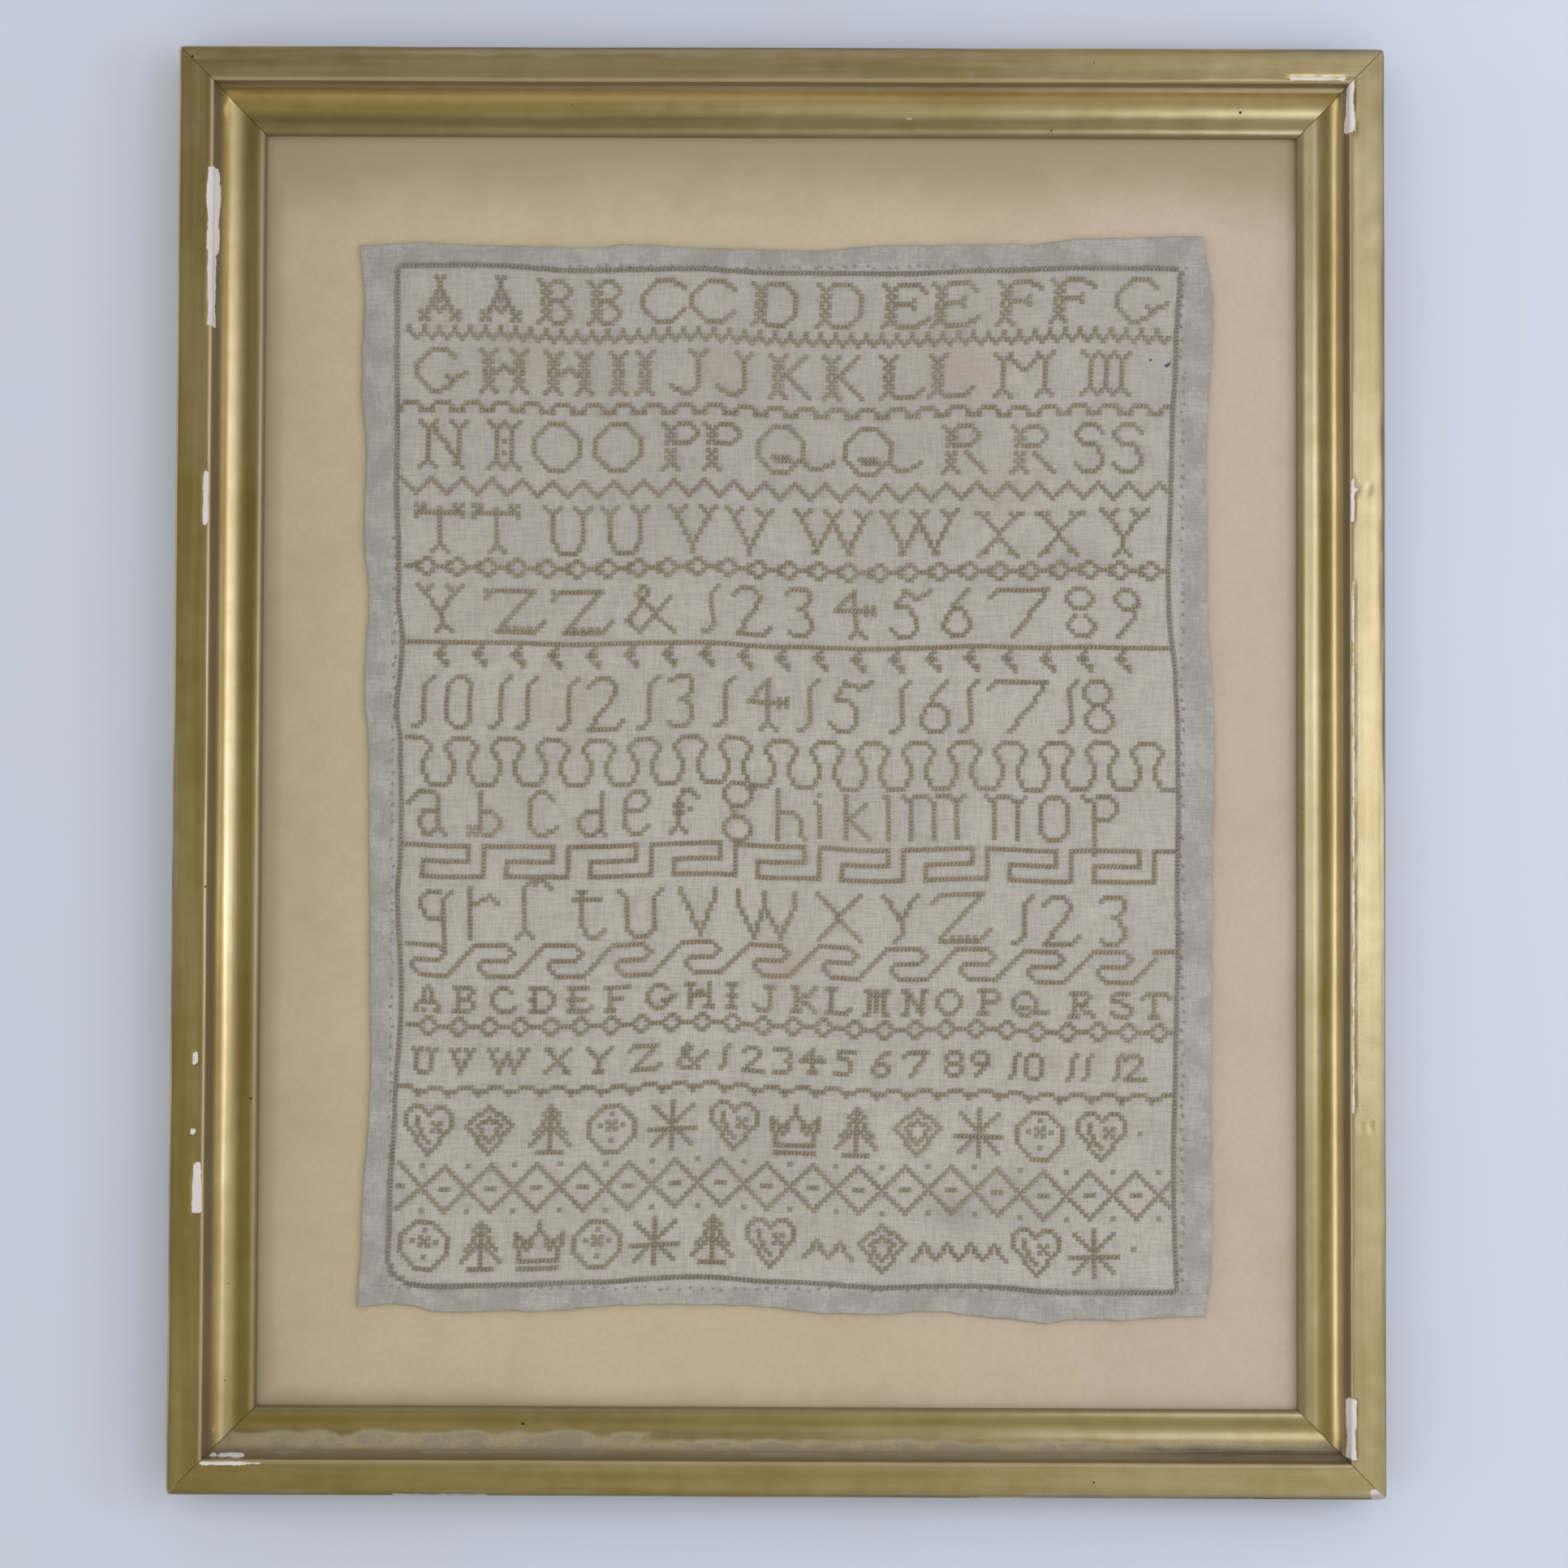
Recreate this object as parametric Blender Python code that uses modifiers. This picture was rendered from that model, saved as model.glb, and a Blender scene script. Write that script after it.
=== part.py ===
"""Framed cross stitch sampler, lying on its back with its face up.

Four mitred scoop mouldings hold a pale mount board in their rebate. The
hemmed linen sampler lies on the board. Metres, +Z out of the face, +Y to the
top of the picture, and the origin on the back plane under the middle.
"""

import math

import bmesh
import bpy
from mathutils import Vector

MM = 0.001

# Frame, outside sizes and the moulding's width and depth.
FRAME_WIDTH = 382 * MM
FRAME_HEIGHT = 457 * MM
RAIL_WIDTH = 26.4 * MM
RAIL_DEPTH = 18 * MM
JOINT_GAP = 0.3 * MM

# Moulding profile, from its outer side to the sight edge.
CHAMFER = 1.0 * MM
BAND_END = 10.0 * MM
ARRIS_RADIUS = 1.1 * MM
STEP_FOOT = 13.2 * MM
STEP_FOOT_HEIGHT = 13.6 * MM
SCOOP_END = 22.4 * MM
SCOOP_END_HEIGHT = 8.4 * MM
SCOOP_SAG = 1.8 * MM
FILLET_RISE = 0.6 * MM
FILLET_EDGE = 0.5 * MM
REBATE_WIDTH = 6 * MM
REBATE_DEPTH = 5.8 * MM
SCOOP_STEPS = 8
ARRIS_STEPS = 3

# Mount board, loose in the rebate and close under its lip.
BOARD_PLAY = 0.6 * MM
BOARD_THICKNESS = 3 * MM
BOARD_TOP = REBATE_DEPTH - JOINT_GAP

# Linen sampler: the lines that its edges wander about, and its hem.
CLOTH_LEFT = -131.5 * MM
CLOTH_RIGHT = 137.0 * MM
CLOTH_BOTTOM = -172.0 * MM
CLOTH_TOP = 167.6 * MM
CLOTH_THICKNESS = 1.0 * MM
HEM_THICKNESS = 1.5 * MM
HEM_SIDE = 9.5 * MM
HEM_END = 7.5 * MM
HEM_STEP = 1.2 * MM
CLOTH_GAP = 0.3 * MM
FIELD_COLUMNS = 28
FIELD_ROWS = 36

# How far each edge stands out from its line, by the way along it.
# along: from left to right, or from bottom to top, 0 to 1; out: millimetres.
TOP_EDGE = (
    # along, out
    (0.00, -0.6),
    (0.07, 0.3),
    (0.15, -0.5),
    (0.28, -1.1),
    (0.32, 0.0),
    (0.43, -1.2),
    (0.52, -1.9),
    (0.65, 0.1),
    (0.79, 0.4),
    (0.86, 2.3),
    (1.00, 3.2),
)
BOTTOM_EDGE = (
    # along, out
    (0.00, -0.8),
    (0.04, -2.1),
    (0.11, 0.6),
    (0.20, 0.2),
    (0.35, -2.2),
    (0.46, -1.9),
    (0.56, 0.5),
    (0.62, 0.8),
    (0.67, -0.3),
    (0.77, 2.0),
    (0.81, 3.4),
    (0.84, 2.1),
    (0.90, 2.5),
    (0.95, 1.2),
    (1.00, 1.1),
)
LEFT_EDGE = (
    # along, out
    (0.00, 1.3),
    (0.06, 0.4),
    (0.22, -2.3),
    (0.36, -1.6),
    (0.52, -0.9),
    (0.58, 0.8),
    (0.66, -0.6),
    (0.73, 1.1),
    (0.80, 0.6),
    (0.87, 2.2),
    (0.95, 1.6),
    (1.00, 2.9),
)
RIGHT_EDGE = (
    # along, out
    (0.00, -1.2),
    (0.05, 0.8),
    (0.22, 0.5),
    (0.40, 0.9),
    (0.53, 1.7),
    (0.66, -0.7),
    (0.80, -1.0),
    (0.93, 1.3),
    (1.00, -1.6),
)

# Shallow cockles of the linen, as soft ridges across the cloth.
COCKLES = (
    # centre x, centre y, reach along x, reach along y, rise: millimetres
    (-78.0, 118.0, 46.0, 20.0, 0.5),
    (62.0, 134.0, 52.0, 15.0, 0.6),
    (92.0, 24.0, 24.0, 62.0, 0.6),
    (-96.0, -22.0, 18.0, 70.0, 0.4),
    (20.0, -52.0, 60.0, 22.0, 0.5),
    (74.0, -136.0, 40.0, 18.0, 0.7),
    (-58.0, -140.0, 44.0, 16.0, 0.5),
)


def clear_scene():
    """Remove what the scene holds."""
    for thing in list(bpy.data.objects):
        bpy.data.objects.remove(thing, do_unlink=True)


def make_material(name, colour, roughness, metallic=0.0):
    """A Principled material of one colour."""
    material = bpy.data.materials.new(name)
    material.use_nodes = True
    shader = material.node_tree.nodes["Principled BSDF"]
    shader.inputs["Base Color"].default_value = (*colour, 1.0)
    shader.inputs["Roughness"].default_value = roughness
    shader.inputs["Metallic"].default_value = metallic
    return material


def add_object(name, builder, collection, material):
    """An object holding the bmesh, which is freed."""
    mesh = bpy.data.meshes.new(name)
    builder.to_mesh(mesh)
    builder.free()
    mesh.materials.append(material)
    thing = bpy.data.objects.new(name, mesh)
    collection.objects.link(thing)
    return thing


def arc_points(start, end, sag, steps):
    """Points of the arc from start to end that hangs sag below its chord."""
    chord = (end - start).length
    radius = (chord**2 / 4 + sag**2) / (2 * sag)
    half_angle = math.asin(chord / 2 / radius)
    along = (end - start).normalized()
    down = Vector((along.y, -along.x))
    centre = (start + end) / 2 - down * (radius - sag)
    points = []
    for step in range(steps + 1):
        angle = half_angle * (2 * step / steps - 1)
        points.append(centre + along * radius * math.sin(angle) + down * radius * math.cos(angle))
    return points


def rail_profile():
    """The moulding's outline, as (distance in from the outer side, height)."""
    points = [Vector((0, 0)), Vector((0, RAIL_DEPTH - CHAMFER)), Vector((CHAMFER, RAIL_DEPTH))]
    arris = Vector((BAND_END, RAIL_DEPTH - ARRIS_RADIUS))
    for step in range(ARRIS_STEPS + 1):
        angle = math.pi / 2 * (1 - step / ARRIS_STEPS)
        points.append(arris + ARRIS_RADIUS * Vector((math.cos(angle), math.sin(angle))))
    scoop_start = Vector((STEP_FOOT, STEP_FOOT_HEIGHT))
    scoop_end = Vector((SCOOP_END, SCOOP_END_HEIGHT))
    points.append(Vector((BAND_END + ARRIS_RADIUS, STEP_FOOT_HEIGHT)))
    points += arc_points(scoop_start, scoop_end, SCOOP_SAG, SCOOP_STEPS)
    fillet_top = SCOOP_END_HEIGHT + FILLET_RISE
    points.append(Vector((SCOOP_END + FILLET_EDGE, fillet_top)))
    points.append(Vector((RAIL_WIDTH - FILLET_EDGE, fillet_top)))
    points.append(Vector((RAIL_WIDTH, fillet_top - FILLET_EDGE)))
    points.append(Vector((RAIL_WIDTH, REBATE_DEPTH)))
    points.append(Vector((RAIL_WIDTH - REBATE_WIDTH, REBATE_DEPTH)))
    points.append(Vector((RAIL_WIDTH - REBATE_WIDTH, 0)))
    return points


def saw_mitre(builder, length, end):
    """Cut one end of a rail to 45 degrees; end is -1 or 1."""
    outward = Vector((end, 1, 0)).normalized()
    corner = Vector((end * length / 2, 0, 0))
    bmesh.ops.bisect_plane(
        builder,
        geom=builder.verts[:] + builder.edges[:] + builder.faces[:],
        plane_co=corner - outward * JOINT_GAP / 2,
        plane_no=outward,
        clear_outer=True,
    )
    bmesh.ops.holes_fill(builder, edges=[edge for edge in builder.edges if edge.is_boundary])


def make_rail(name, length, place, turn, collection, material):
    """One mitred length of moulding, with its outer side on the local X axis."""
    builder = bmesh.new()
    ring = [builder.verts.new((-length / 2 - RAIL_WIDTH, p.x, p.y)) for p in rail_profile()]
    end_face = builder.faces.new(ring)
    grown = bmesh.ops.extrude_face_region(builder, geom=[end_face])
    moved = [part for part in grown["geom"] if isinstance(part, bmesh.types.BMVert)]
    bmesh.ops.translate(builder, verts=moved, vec=(length + 2 * RAIL_WIDTH, 0, 0))
    saw_mitre(builder, length, -1)
    saw_mitre(builder, length, 1)
    bmesh.ops.recalc_face_normals(builder, faces=builder.faces)
    rail = add_object(name, builder, collection, material)
    rail.location = place
    rail.rotation_euler = (0, 0, turn)
    return rail


def make_rails(collection, material):
    """The four mouldings, each with its outer side on the frame's outline."""
    half_width = FRAME_WIDTH / 2
    half_height = FRAME_HEIGHT / 2
    sides = (
        # name, outer length, place of the outer side's middle, turn
        ("rail_bottom", FRAME_WIDTH, (0, -half_height, 0), 0),
        ("rail_right", FRAME_HEIGHT, (half_width, 0, 0), math.pi / 2),
        ("rail_top", FRAME_WIDTH, (0, half_height, 0), math.pi),
        ("rail_left", FRAME_HEIGHT, (-half_width, 0, 0), -math.pi / 2),
    )
    for name, length, place, turn in sides:
        make_rail(name, length, place, turn, collection, material)


def make_mount_board(collection, material):
    """The flat board that fills the rebate."""
    inset = 2 * (RAIL_WIDTH - REBATE_WIDTH + BOARD_PLAY)
    builder = bmesh.new()
    bmesh.ops.create_cube(builder, size=1)
    bmesh.ops.scale(
        builder,
        verts=builder.verts,
        vec=(FRAME_WIDTH - inset, FRAME_HEIGHT - inset, BOARD_THICKNESS),
    )
    board = add_object("mount_board", builder, collection, material)
    board.location = (0, 0, BOARD_TOP - BOARD_THICKNESS / 2)
    return board


def smooth_value(rows, along):
    """The value of a table at a place, eased from each row to the next."""
    for (start, low), (end, high) in zip(rows, rows[1:]):
        if along <= end:
            part = (along - start) / (end - start)
            eased = part * part * (3 - 2 * part)
            return low + (high - low) * eased
    return rows[-1][1]


def cloth_point(across, up):
    """The place on the sheet for shares 0 to 1 across and up it."""
    left = CLOTH_LEFT - smooth_value(LEFT_EDGE, up) * MM
    right = CLOTH_RIGHT + smooth_value(RIGHT_EDGE, up) * MM
    bottom = CLOTH_BOTTOM - smooth_value(BOTTOM_EDGE, across) * MM
    top = CLOTH_TOP + smooth_value(TOP_EDGE, across) * MM
    return Vector((left + (right - left) * across, bottom + (top - bottom) * up, 0))


def cockle_height(place):
    """How far the linen lifts off the board here."""
    height = 0.0
    for x, y, reach_x, reach_y, rise in COCKLES:
        away = ((place.x / MM - x) / reach_x) ** 2 + ((place.y / MM - y) / reach_y) ** 2
        height += rise * MM * math.exp(-away)
    return height


def hemmed_steps(length, hem, count):
    """Shares along one side of the cloth, with close pairs at each hem's step."""
    steps = [0.0, hem / 2, hem, hem + HEM_STEP]
    field = length - 2 * (hem + HEM_STEP)
    steps += [hem + HEM_STEP + field * step / count for step in range(1, count + 1)]
    steps += [length - hem, length - hem / 2, length]
    return [step / length for step in steps]


def make_sampler(collection, material):
    """The linen, one sheet with its turned hem, cockled and wavy-edged."""
    columns = hemmed_steps(CLOTH_RIGHT - CLOTH_LEFT, HEM_SIDE, FIELD_COLUMNS)
    rows = hemmed_steps(CLOTH_TOP - CLOTH_BOTTOM, HEM_END, FIELD_ROWS)
    builder = bmesh.new()
    bmesh.ops.create_grid(
        builder, x_segments=len(columns) - 1, y_segments=len(rows) - 1, size=0.5
    )
    in_hem = []
    for vert in builder.verts:
        column = round((vert.co.x + 0.5) * (len(columns) - 1))
        row = round((vert.co.y + 0.5) * (len(rows) - 1))
        if not (2 < column < len(columns) - 3 and 2 < row < len(rows) - 3):
            in_hem.append(vert.index)
        vert.co = cloth_point(columns[column], rows[row])
        vert.co.z = BOARD_TOP + CLOTH_GAP + cockle_height(vert.co)
    sheet = add_object("sampler_linen", builder, collection, material)
    hem = sheet.vertex_groups.new(name="hem")
    hem.add(in_hem, 1.0, "REPLACE")
    solid = sheet.modifiers.new("Thickness", "SOLIDIFY")
    solid.thickness = HEM_THICKNESS
    solid.offset = 1.0
    solid.vertex_group = hem.name
    solid.thickness_vertex_group = CLOTH_THICKNESS / HEM_THICKNESS
    sheet.data.shade_smooth()
    return sheet


def main():
    """Build the whole object."""
    clear_scene()
    collection = bpy.data.collections.new("framed_cross_stitch_sampler")
    bpy.context.scene.collection.children.link(collection)
    gilt = make_material("gilt_moulding", (0.45, 0.33, 0.14), 0.42, 0.7)
    card = make_material("mount_card", (0.55, 0.45, 0.28), 0.9)
    linen = make_material("linen", (0.45, 0.42, 0.36), 0.95)
    make_rails(collection, gilt)
    make_mount_board(collection, card)
    make_sampler(collection, linen)


main()
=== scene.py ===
"""Looks of the framed cross stitch sampler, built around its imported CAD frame.

Lengths are in metres unless a name or table says millimetres. +Z is out of the
picture's face, +Y is towards its top, and the frame lies on its back.
"""

import logging
from dataclasses import dataclass, field
from enum import Enum

import bpy
import numpy as np
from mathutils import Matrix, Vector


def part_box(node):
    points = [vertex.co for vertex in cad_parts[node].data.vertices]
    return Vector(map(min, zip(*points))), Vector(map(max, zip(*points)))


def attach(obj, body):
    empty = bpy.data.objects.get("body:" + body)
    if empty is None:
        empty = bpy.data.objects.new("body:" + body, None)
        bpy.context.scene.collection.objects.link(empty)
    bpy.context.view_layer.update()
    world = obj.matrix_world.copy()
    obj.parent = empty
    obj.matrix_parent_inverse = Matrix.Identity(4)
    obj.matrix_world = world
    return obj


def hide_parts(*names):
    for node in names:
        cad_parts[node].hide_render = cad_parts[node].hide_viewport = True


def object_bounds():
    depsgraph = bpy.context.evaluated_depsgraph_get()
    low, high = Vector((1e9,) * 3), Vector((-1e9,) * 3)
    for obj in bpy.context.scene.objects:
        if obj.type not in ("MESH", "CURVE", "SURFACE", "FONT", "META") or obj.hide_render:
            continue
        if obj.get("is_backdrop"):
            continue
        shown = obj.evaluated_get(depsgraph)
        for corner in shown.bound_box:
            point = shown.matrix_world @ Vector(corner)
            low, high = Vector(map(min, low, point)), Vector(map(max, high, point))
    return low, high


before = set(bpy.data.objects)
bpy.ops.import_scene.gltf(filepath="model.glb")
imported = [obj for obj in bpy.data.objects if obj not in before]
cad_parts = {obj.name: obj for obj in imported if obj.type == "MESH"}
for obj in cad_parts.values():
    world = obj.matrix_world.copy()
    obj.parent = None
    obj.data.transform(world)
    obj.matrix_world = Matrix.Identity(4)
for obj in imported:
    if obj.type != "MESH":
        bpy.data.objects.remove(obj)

MM = 0.001
BODY = "root"
LOG = logging.getLogger("sampler")


# --- small tools -------------------------------------------------------------


def ripple(x: np.ndarray, y: np.ndarray, size: float, seed: int) -> np.ndarray:
    """Smooth seeded unevenness between about -1 and 1.

    Args:
        x, y: places, in the same unit as size.
        size: the usual width of a bump.
        seed: chooses the pattern.

    Returns:
        One value for each place.
    """
    draw = np.random.default_rng(seed)
    total = np.zeros(np.broadcast(x, y).shape)
    waves = 7
    for turn in draw.uniform(0, 2 * np.pi, waves):
        rate = np.pi / size * draw.uniform(0.6, 1.5)
        total += np.sin(rate * (np.cos(turn) * x + np.sin(turn) * y) + draw.uniform(0, 2 * np.pi))
    return total / np.sqrt(waves * 2)


def eased(rows: tuple, along: np.ndarray) -> np.ndarray:
    """Read a table of (place, value) rows, eased from each row to the next.

    Args:
        rows: the table, by rising place.
        along: the places to read.

    Returns:
        The value at each place.
    """
    places, values = np.array(rows).T
    step = np.clip(np.searchsorted(places, along, side="right") - 1, 0, len(places) - 2)
    part = np.clip((along - places[step]) / (places[step + 1] - places[step]), 0, 1)
    part = part * part * (3 - 2 * part)
    return values[step] + (values[step + 1] - values[step]) * part


def soft_step(value: np.ndarray, low: float, high: float) -> np.ndarray:
    """Ease from 0 at low to 1 at high."""
    part = np.clip((value - low) / (high - low), 0, 1)
    return part * part * (3 - 2 * part)


def grid_faces(rows: int, columns: int, closed: bool = False) -> np.ndarray:
    """Quads between the rows of a grid of points.

    Args:
        rows: rows of points.
        columns: points in a row.
        closed: whether the last point of a row joins its first.

    Returns:
        Four point numbers for each quad.
    """
    row, column = np.meshgrid(
        np.arange(rows - 1), np.arange(columns if closed else columns - 1), indexing="ij"
    )
    after = (column + 1) % columns
    corners = (
        row * columns + column,
        row * columns + after,
        (row + 1) * columns + after,
        (row + 1) * columns + column,
    )
    return np.stack(corners, axis=-1).reshape(-1, 4)


def outward(points: np.ndarray, faces: list) -> list:
    """Turn the faces of a closed form outwards, if they face inwards.

    Args:
        points: the form's points.
        faces: its faces, all wound the same way.

    Returns:
        The faces, wound to face outwards.
    """
    volume = 0.0
    for count in {len(face) for face in faces}:
        ring = np.array([face for face in faces if len(face) == count])
        first = points[ring[:, 0]]
        for step in range(1, count - 1):
            cross = np.cross(points[ring[:, step]], points[ring[:, step + 1]])
            volume += float((first * cross).sum())
    return faces if volume > 0 else [face[::-1] for face in faces]


def make_piece(name: str, points: np.ndarray, faces: list, sharp_deg: float) -> bpy.types.Object:
    """Make a piece of the object that rides on its one body.

    Args:
        name: the piece's name.
        points: its points, in metres.
        faces: its faces.
        sharp_deg: the angle past which an edge shades sharp.

    Returns:
        The piece, linked to the scene.
    """
    mesh = bpy.data.meshes.new(name)
    mesh.from_pydata(points.tolist(), [], outward(points, faces))
    mesh.shade_smooth()
    mesh.set_sharp_from_angle(angle=np.radians(sharp_deg))
    piece = bpy.data.objects.new(name, mesh)
    bpy.context.scene.collection.objects.link(piece)
    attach(piece, BODY)
    return piece


def paint(piece: bpy.types.Object, name: str, values: np.ndarray) -> None:
    """Store one number for each point of a piece, for its finish to read.

    Args:
        piece: the piece.
        name: what the number is called.
        values: one for each point.
    """
    layer = piece.data.attributes.new(name, "FLOAT", "POINT")
    layer.data.foreach_set("value", np.ascontiguousarray(values, dtype=np.float32).ravel())


def report(piece: bpy.types.Object) -> None:
    """Log the piece and its size."""
    triangles = sum(len(face.vertices) - 2 for face in piece.data.polygons)
    LOG.info("%s: %d triangles", piece.name, triangles)


# --- finishes ----------------------------------------------------------------


class Wiring:
    """Adds and joins the nodes of one material or node group."""

    def __init__(self, tree: bpy.types.NodeTree) -> None:
        """Keep the tree to work in."""
        self.tree = tree

    def join(self, socket: bpy.types.NodeSocket, value: object) -> None:
        """Link a socket to an output, or set its plain value."""
        if isinstance(value, bpy.types.NodeSocket):
            self.tree.links.new(value, socket)
        elif isinstance(value, tuple) and socket.type == "RGBA":
            socket.default_value = (*value, 1.0)
        else:
            socket.default_value = value

    def node(self, kind: str, inputs: dict | None = None, **settings: object) -> bpy.types.Node:
        """Add a node.

        Args:
            kind: its Blender type, without the ShaderNode at the front.
            inputs: values or outputs for its sockets, by name or number.
            **settings: its own properties.

        Returns:
            The node.
        """
        made = self.tree.nodes.new("ShaderNode" + kind)
        for name, value in settings.items():
            setattr(made, name, value)
        for key, value in (inputs or {}).items():
            self.join(made.inputs[key], value)
        return made

    def maths(self, operation: str, first: object, second: object = 0.0) -> bpy.types.NodeSocket:
        """Add a maths node and give its output."""
        return self.node("Math", {0: first, 1: second}, operation=operation).outputs[0]

    def times(self, first: object, second: object) -> bpy.types.NodeSocket:
        """Multiply two values."""
        return self.maths("MULTIPLY", first, second)

    def plus(self, first: object, second: object) -> bpy.types.NodeSocket:
        """Add two values."""
        return self.maths("ADD", first, second)

    def less(self, first: object, second: object) -> bpy.types.NodeSocket:
        """Take the second value from the first."""
        return self.maths("SUBTRACT", first, second)

    def larger(self, first: object, second: object) -> bpy.types.NodeSocket:
        """Give the larger of two values."""
        return self.maths("MAXIMUM", first, second)

    def blend(self, share: float, first: object, second: object) -> bpy.types.NodeSocket:
        """Add two values, the first weighed by a share and the second by the rest of one."""
        return self.plus(self.times(first, share), self.times(second, 1 - share))

    def mix(self, share: object, first: object, second: object) -> bpy.types.NodeSocket:
        """Blend two colours by a share from 0 to 1, and give the output."""
        made = self.node("Mix", data_type="RGBA")
        for index, value in ((0, share), (6, first), (7, second)):
            self.join(made.inputs[index], value)
        return made.outputs[2]

    def spread(
        self, value: object, low: float, high: float, to_low: float = 0.0, to_high: float = 1.0
    ) -> bpy.types.NodeSocket:
        """Map a value from one range to another, held at both ends, and give the output."""
        sockets = {0: value, 1: low, 2: high, 3: to_low, 4: to_high}
        return self.node("MapRange", sockets, interpolation_type="SMOOTHSTEP").outputs[0]

    def noise(self, place: object, scale: object, detail: float = 3.0) -> bpy.types.NodeSocket:
        """Add a noise texture and give its value."""
        sockets = {"Vector": place, "Scale": scale, "Detail": detail}
        return self.node("TexNoise", sockets).outputs[0]

    def painted(self, name: str) -> bpy.types.NodeSocket:
        """Give the numbers painted on the piece."""
        return self.node("Attribute", attribute_name=name).outputs["Fac"]

    def place(self) -> bpy.types.NodeSocket:
        """Give the place on the object, in metres."""
        return self.node("TexCoord").outputs["Object"]

    def stretched(self, place: object, stretch: tuple) -> bpy.types.NodeSocket:
        """Scale a place by its own share in each direction, and give the output."""
        return self.node("Mapping", {"Vector": place, "Scale": stretch}).outputs[0]


class Effect(Enum):
    """The effects that finishes share, each a node group built once."""

    MOTTLE = "mottle"
    WORN = "worn_through"
    FLECK = "flecks"
    WEAVE = "plain_weave"


class Effects:
    """Builds each shared node group the first time that a finish asks for it."""

    SOCKETS = {
        Effect.MOTTLE: (("Place", "Vector"), ("Scale", "Float"), ("Cloud", "Float", "OUT")),
        Effect.WORN: (
            ("Place", "Vector"),
            ("Reach", "Float"),
            ("Ragged", "Float"),
            ("Mask", "Float", "OUT"),
        ),
        Effect.FLECK: (
            ("Place", "Vector"),
            ("Scale", "Float"),
            ("Size", "Float"),
            ("Mask", "Float", "OUT"),
        ),
        Effect.WEAVE: (
            ("Place", "Vector"),
            ("Count", "Float"),
            ("Height", "Float", "OUT"),
            ("Thread", "Float", "OUT"),
        ),
    }

    def group(self, effect: Effect) -> bpy.types.NodeTree:
        """The effect's node group.

        Args:
            effect: which effect.

        Returns:
            The group, built if it wasn't there yet.
        """
        known = bpy.data.node_groups.get(effect.value)
        if known:
            return known
        tree = bpy.data.node_groups.new(effect.value, "ShaderNodeTree")
        for name, kind, *out in self.SOCKETS[effect]:
            tree.interface.new_socket(
                name, in_out="OUTPUT" if out else "INPUT", socket_type="NodeSocket" + kind
            )
        wiring = Wiring(tree)
        given = tree.nodes.new("NodeGroupInput")
        made = tree.nodes.new("NodeGroupOutput")
        results = getattr(self, effect.value)(wiring, given.outputs)
        for name, socket in results.items():
            wiring.join(made.inputs[name], socket)
        return tree

    def use(self, wiring: Wiring, effect: Effect, **inputs: object) -> bpy.types.bpy_prop_collection:
        """Place an effect in a material.

        Args:
            wiring: the material's nodes.
            effect: which effect.
            **inputs: its inputs by name.

        Returns:
            The outputs of the group's node.
        """
        placed = wiring.tree.nodes.new("ShaderNodeGroup")
        placed.node_tree = self.group(effect)
        for name, value in inputs.items():
            wiring.join(placed.inputs[name], value)
        return placed.outputs

    def mottle(self, wiring: Wiring, given: object) -> dict:
        """Clouds of three sizes."""
        scale = given["Scale"]
        broad = wiring.noise(given["Place"], scale, 2.0)
        fine = wiring.noise(given["Place"], wiring.times(scale, 6.3), 4.0)
        cloud = wiring.blend(0.65, broad, fine)
        return {"Cloud": wiring.spread(cloud, 0.3, 0.7)}

    def worn_through(self, wiring: Wiring, given: object) -> dict:
        """A crisp ragged patch where the reach, in millimetres, is above nought."""
        coarse = wiring.noise(given["Place"], 420.0, 3.0)
        fine = wiring.noise(given["Place"], 2600.0, 2.0)
        rough = wiring.less(wiring.plus(coarse, wiring.times(fine, 0.4)), 0.7)
        edge = wiring.plus(given["Reach"], wiring.times(rough, given["Ragged"]))
        return {"Mask": wiring.spread(edge, -0.08, 0.08)}

    def flecks(self, wiring: Wiring, given: object) -> dict:
        """Scattered round specks; Size is their radius as a share of their spacing."""
        cells = wiring.node(
            "TexVoronoi", {"Vector": given["Place"], "Scale": given["Scale"], "Randomness": 1.0}
        )
        kept = wiring.node("SeparateColor", {0: cells.outputs["Color"]})
        size = wiring.times(given["Size"], wiring.maths("POWER", kept.outputs[0], 4.0))
        inside = wiring.less(size, cells.outputs["Distance"])
        return {"Mask": wiring.spread(inside, 0.0, 0.03)}

    def plain_weave(self, wiring: Wiring, given: object) -> dict:
        """Over-and-under threads, Count to the metre, with slubs along them."""
        sides = wiring.node("SeparateXYZ", {0: given["Place"]})
        wander = wiring.noise(given["Place"], 90.0, 2.0)
        turns = []
        for axis in (0, 1):
            wobble = wiring.times(wander, 3.0)
            turn = wiring.times(sides.outputs[axis], given["Count"])
            turns.append(wiring.times(wiring.plus(turn, wobble), np.pi))
        warp = wiring.maths("ABSOLUTE", wiring.maths("SINE", turns[0]))
        weft = wiring.maths("ABSOLUTE", wiring.maths("SINE", turns[1]))
        over = wiring.times(wiring.maths("COSINE", turns[0]), wiring.maths("COSINE", turns[1]))
        weft_up = wiring.spread(over, -0.3, 0.3)
        warp_part = wiring.times(warp, wiring.less(1.0, weft_up))
        height = wiring.plus(wiring.times(weft, weft_up), warp_part)
        upright = wiring.noise(wiring.stretched(given["Place"], (1.0, 0.12, 1.0)), 1500.0, 2.0)
        level = wiring.noise(wiring.stretched(given["Place"], (0.12, 1.0, 1.0)), 1500.0, 2.0)
        return {"Height": height, "Thread": wiring.times(wiring.plus(upright, level), 0.5)}


EFFECTS = Effects()


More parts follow.
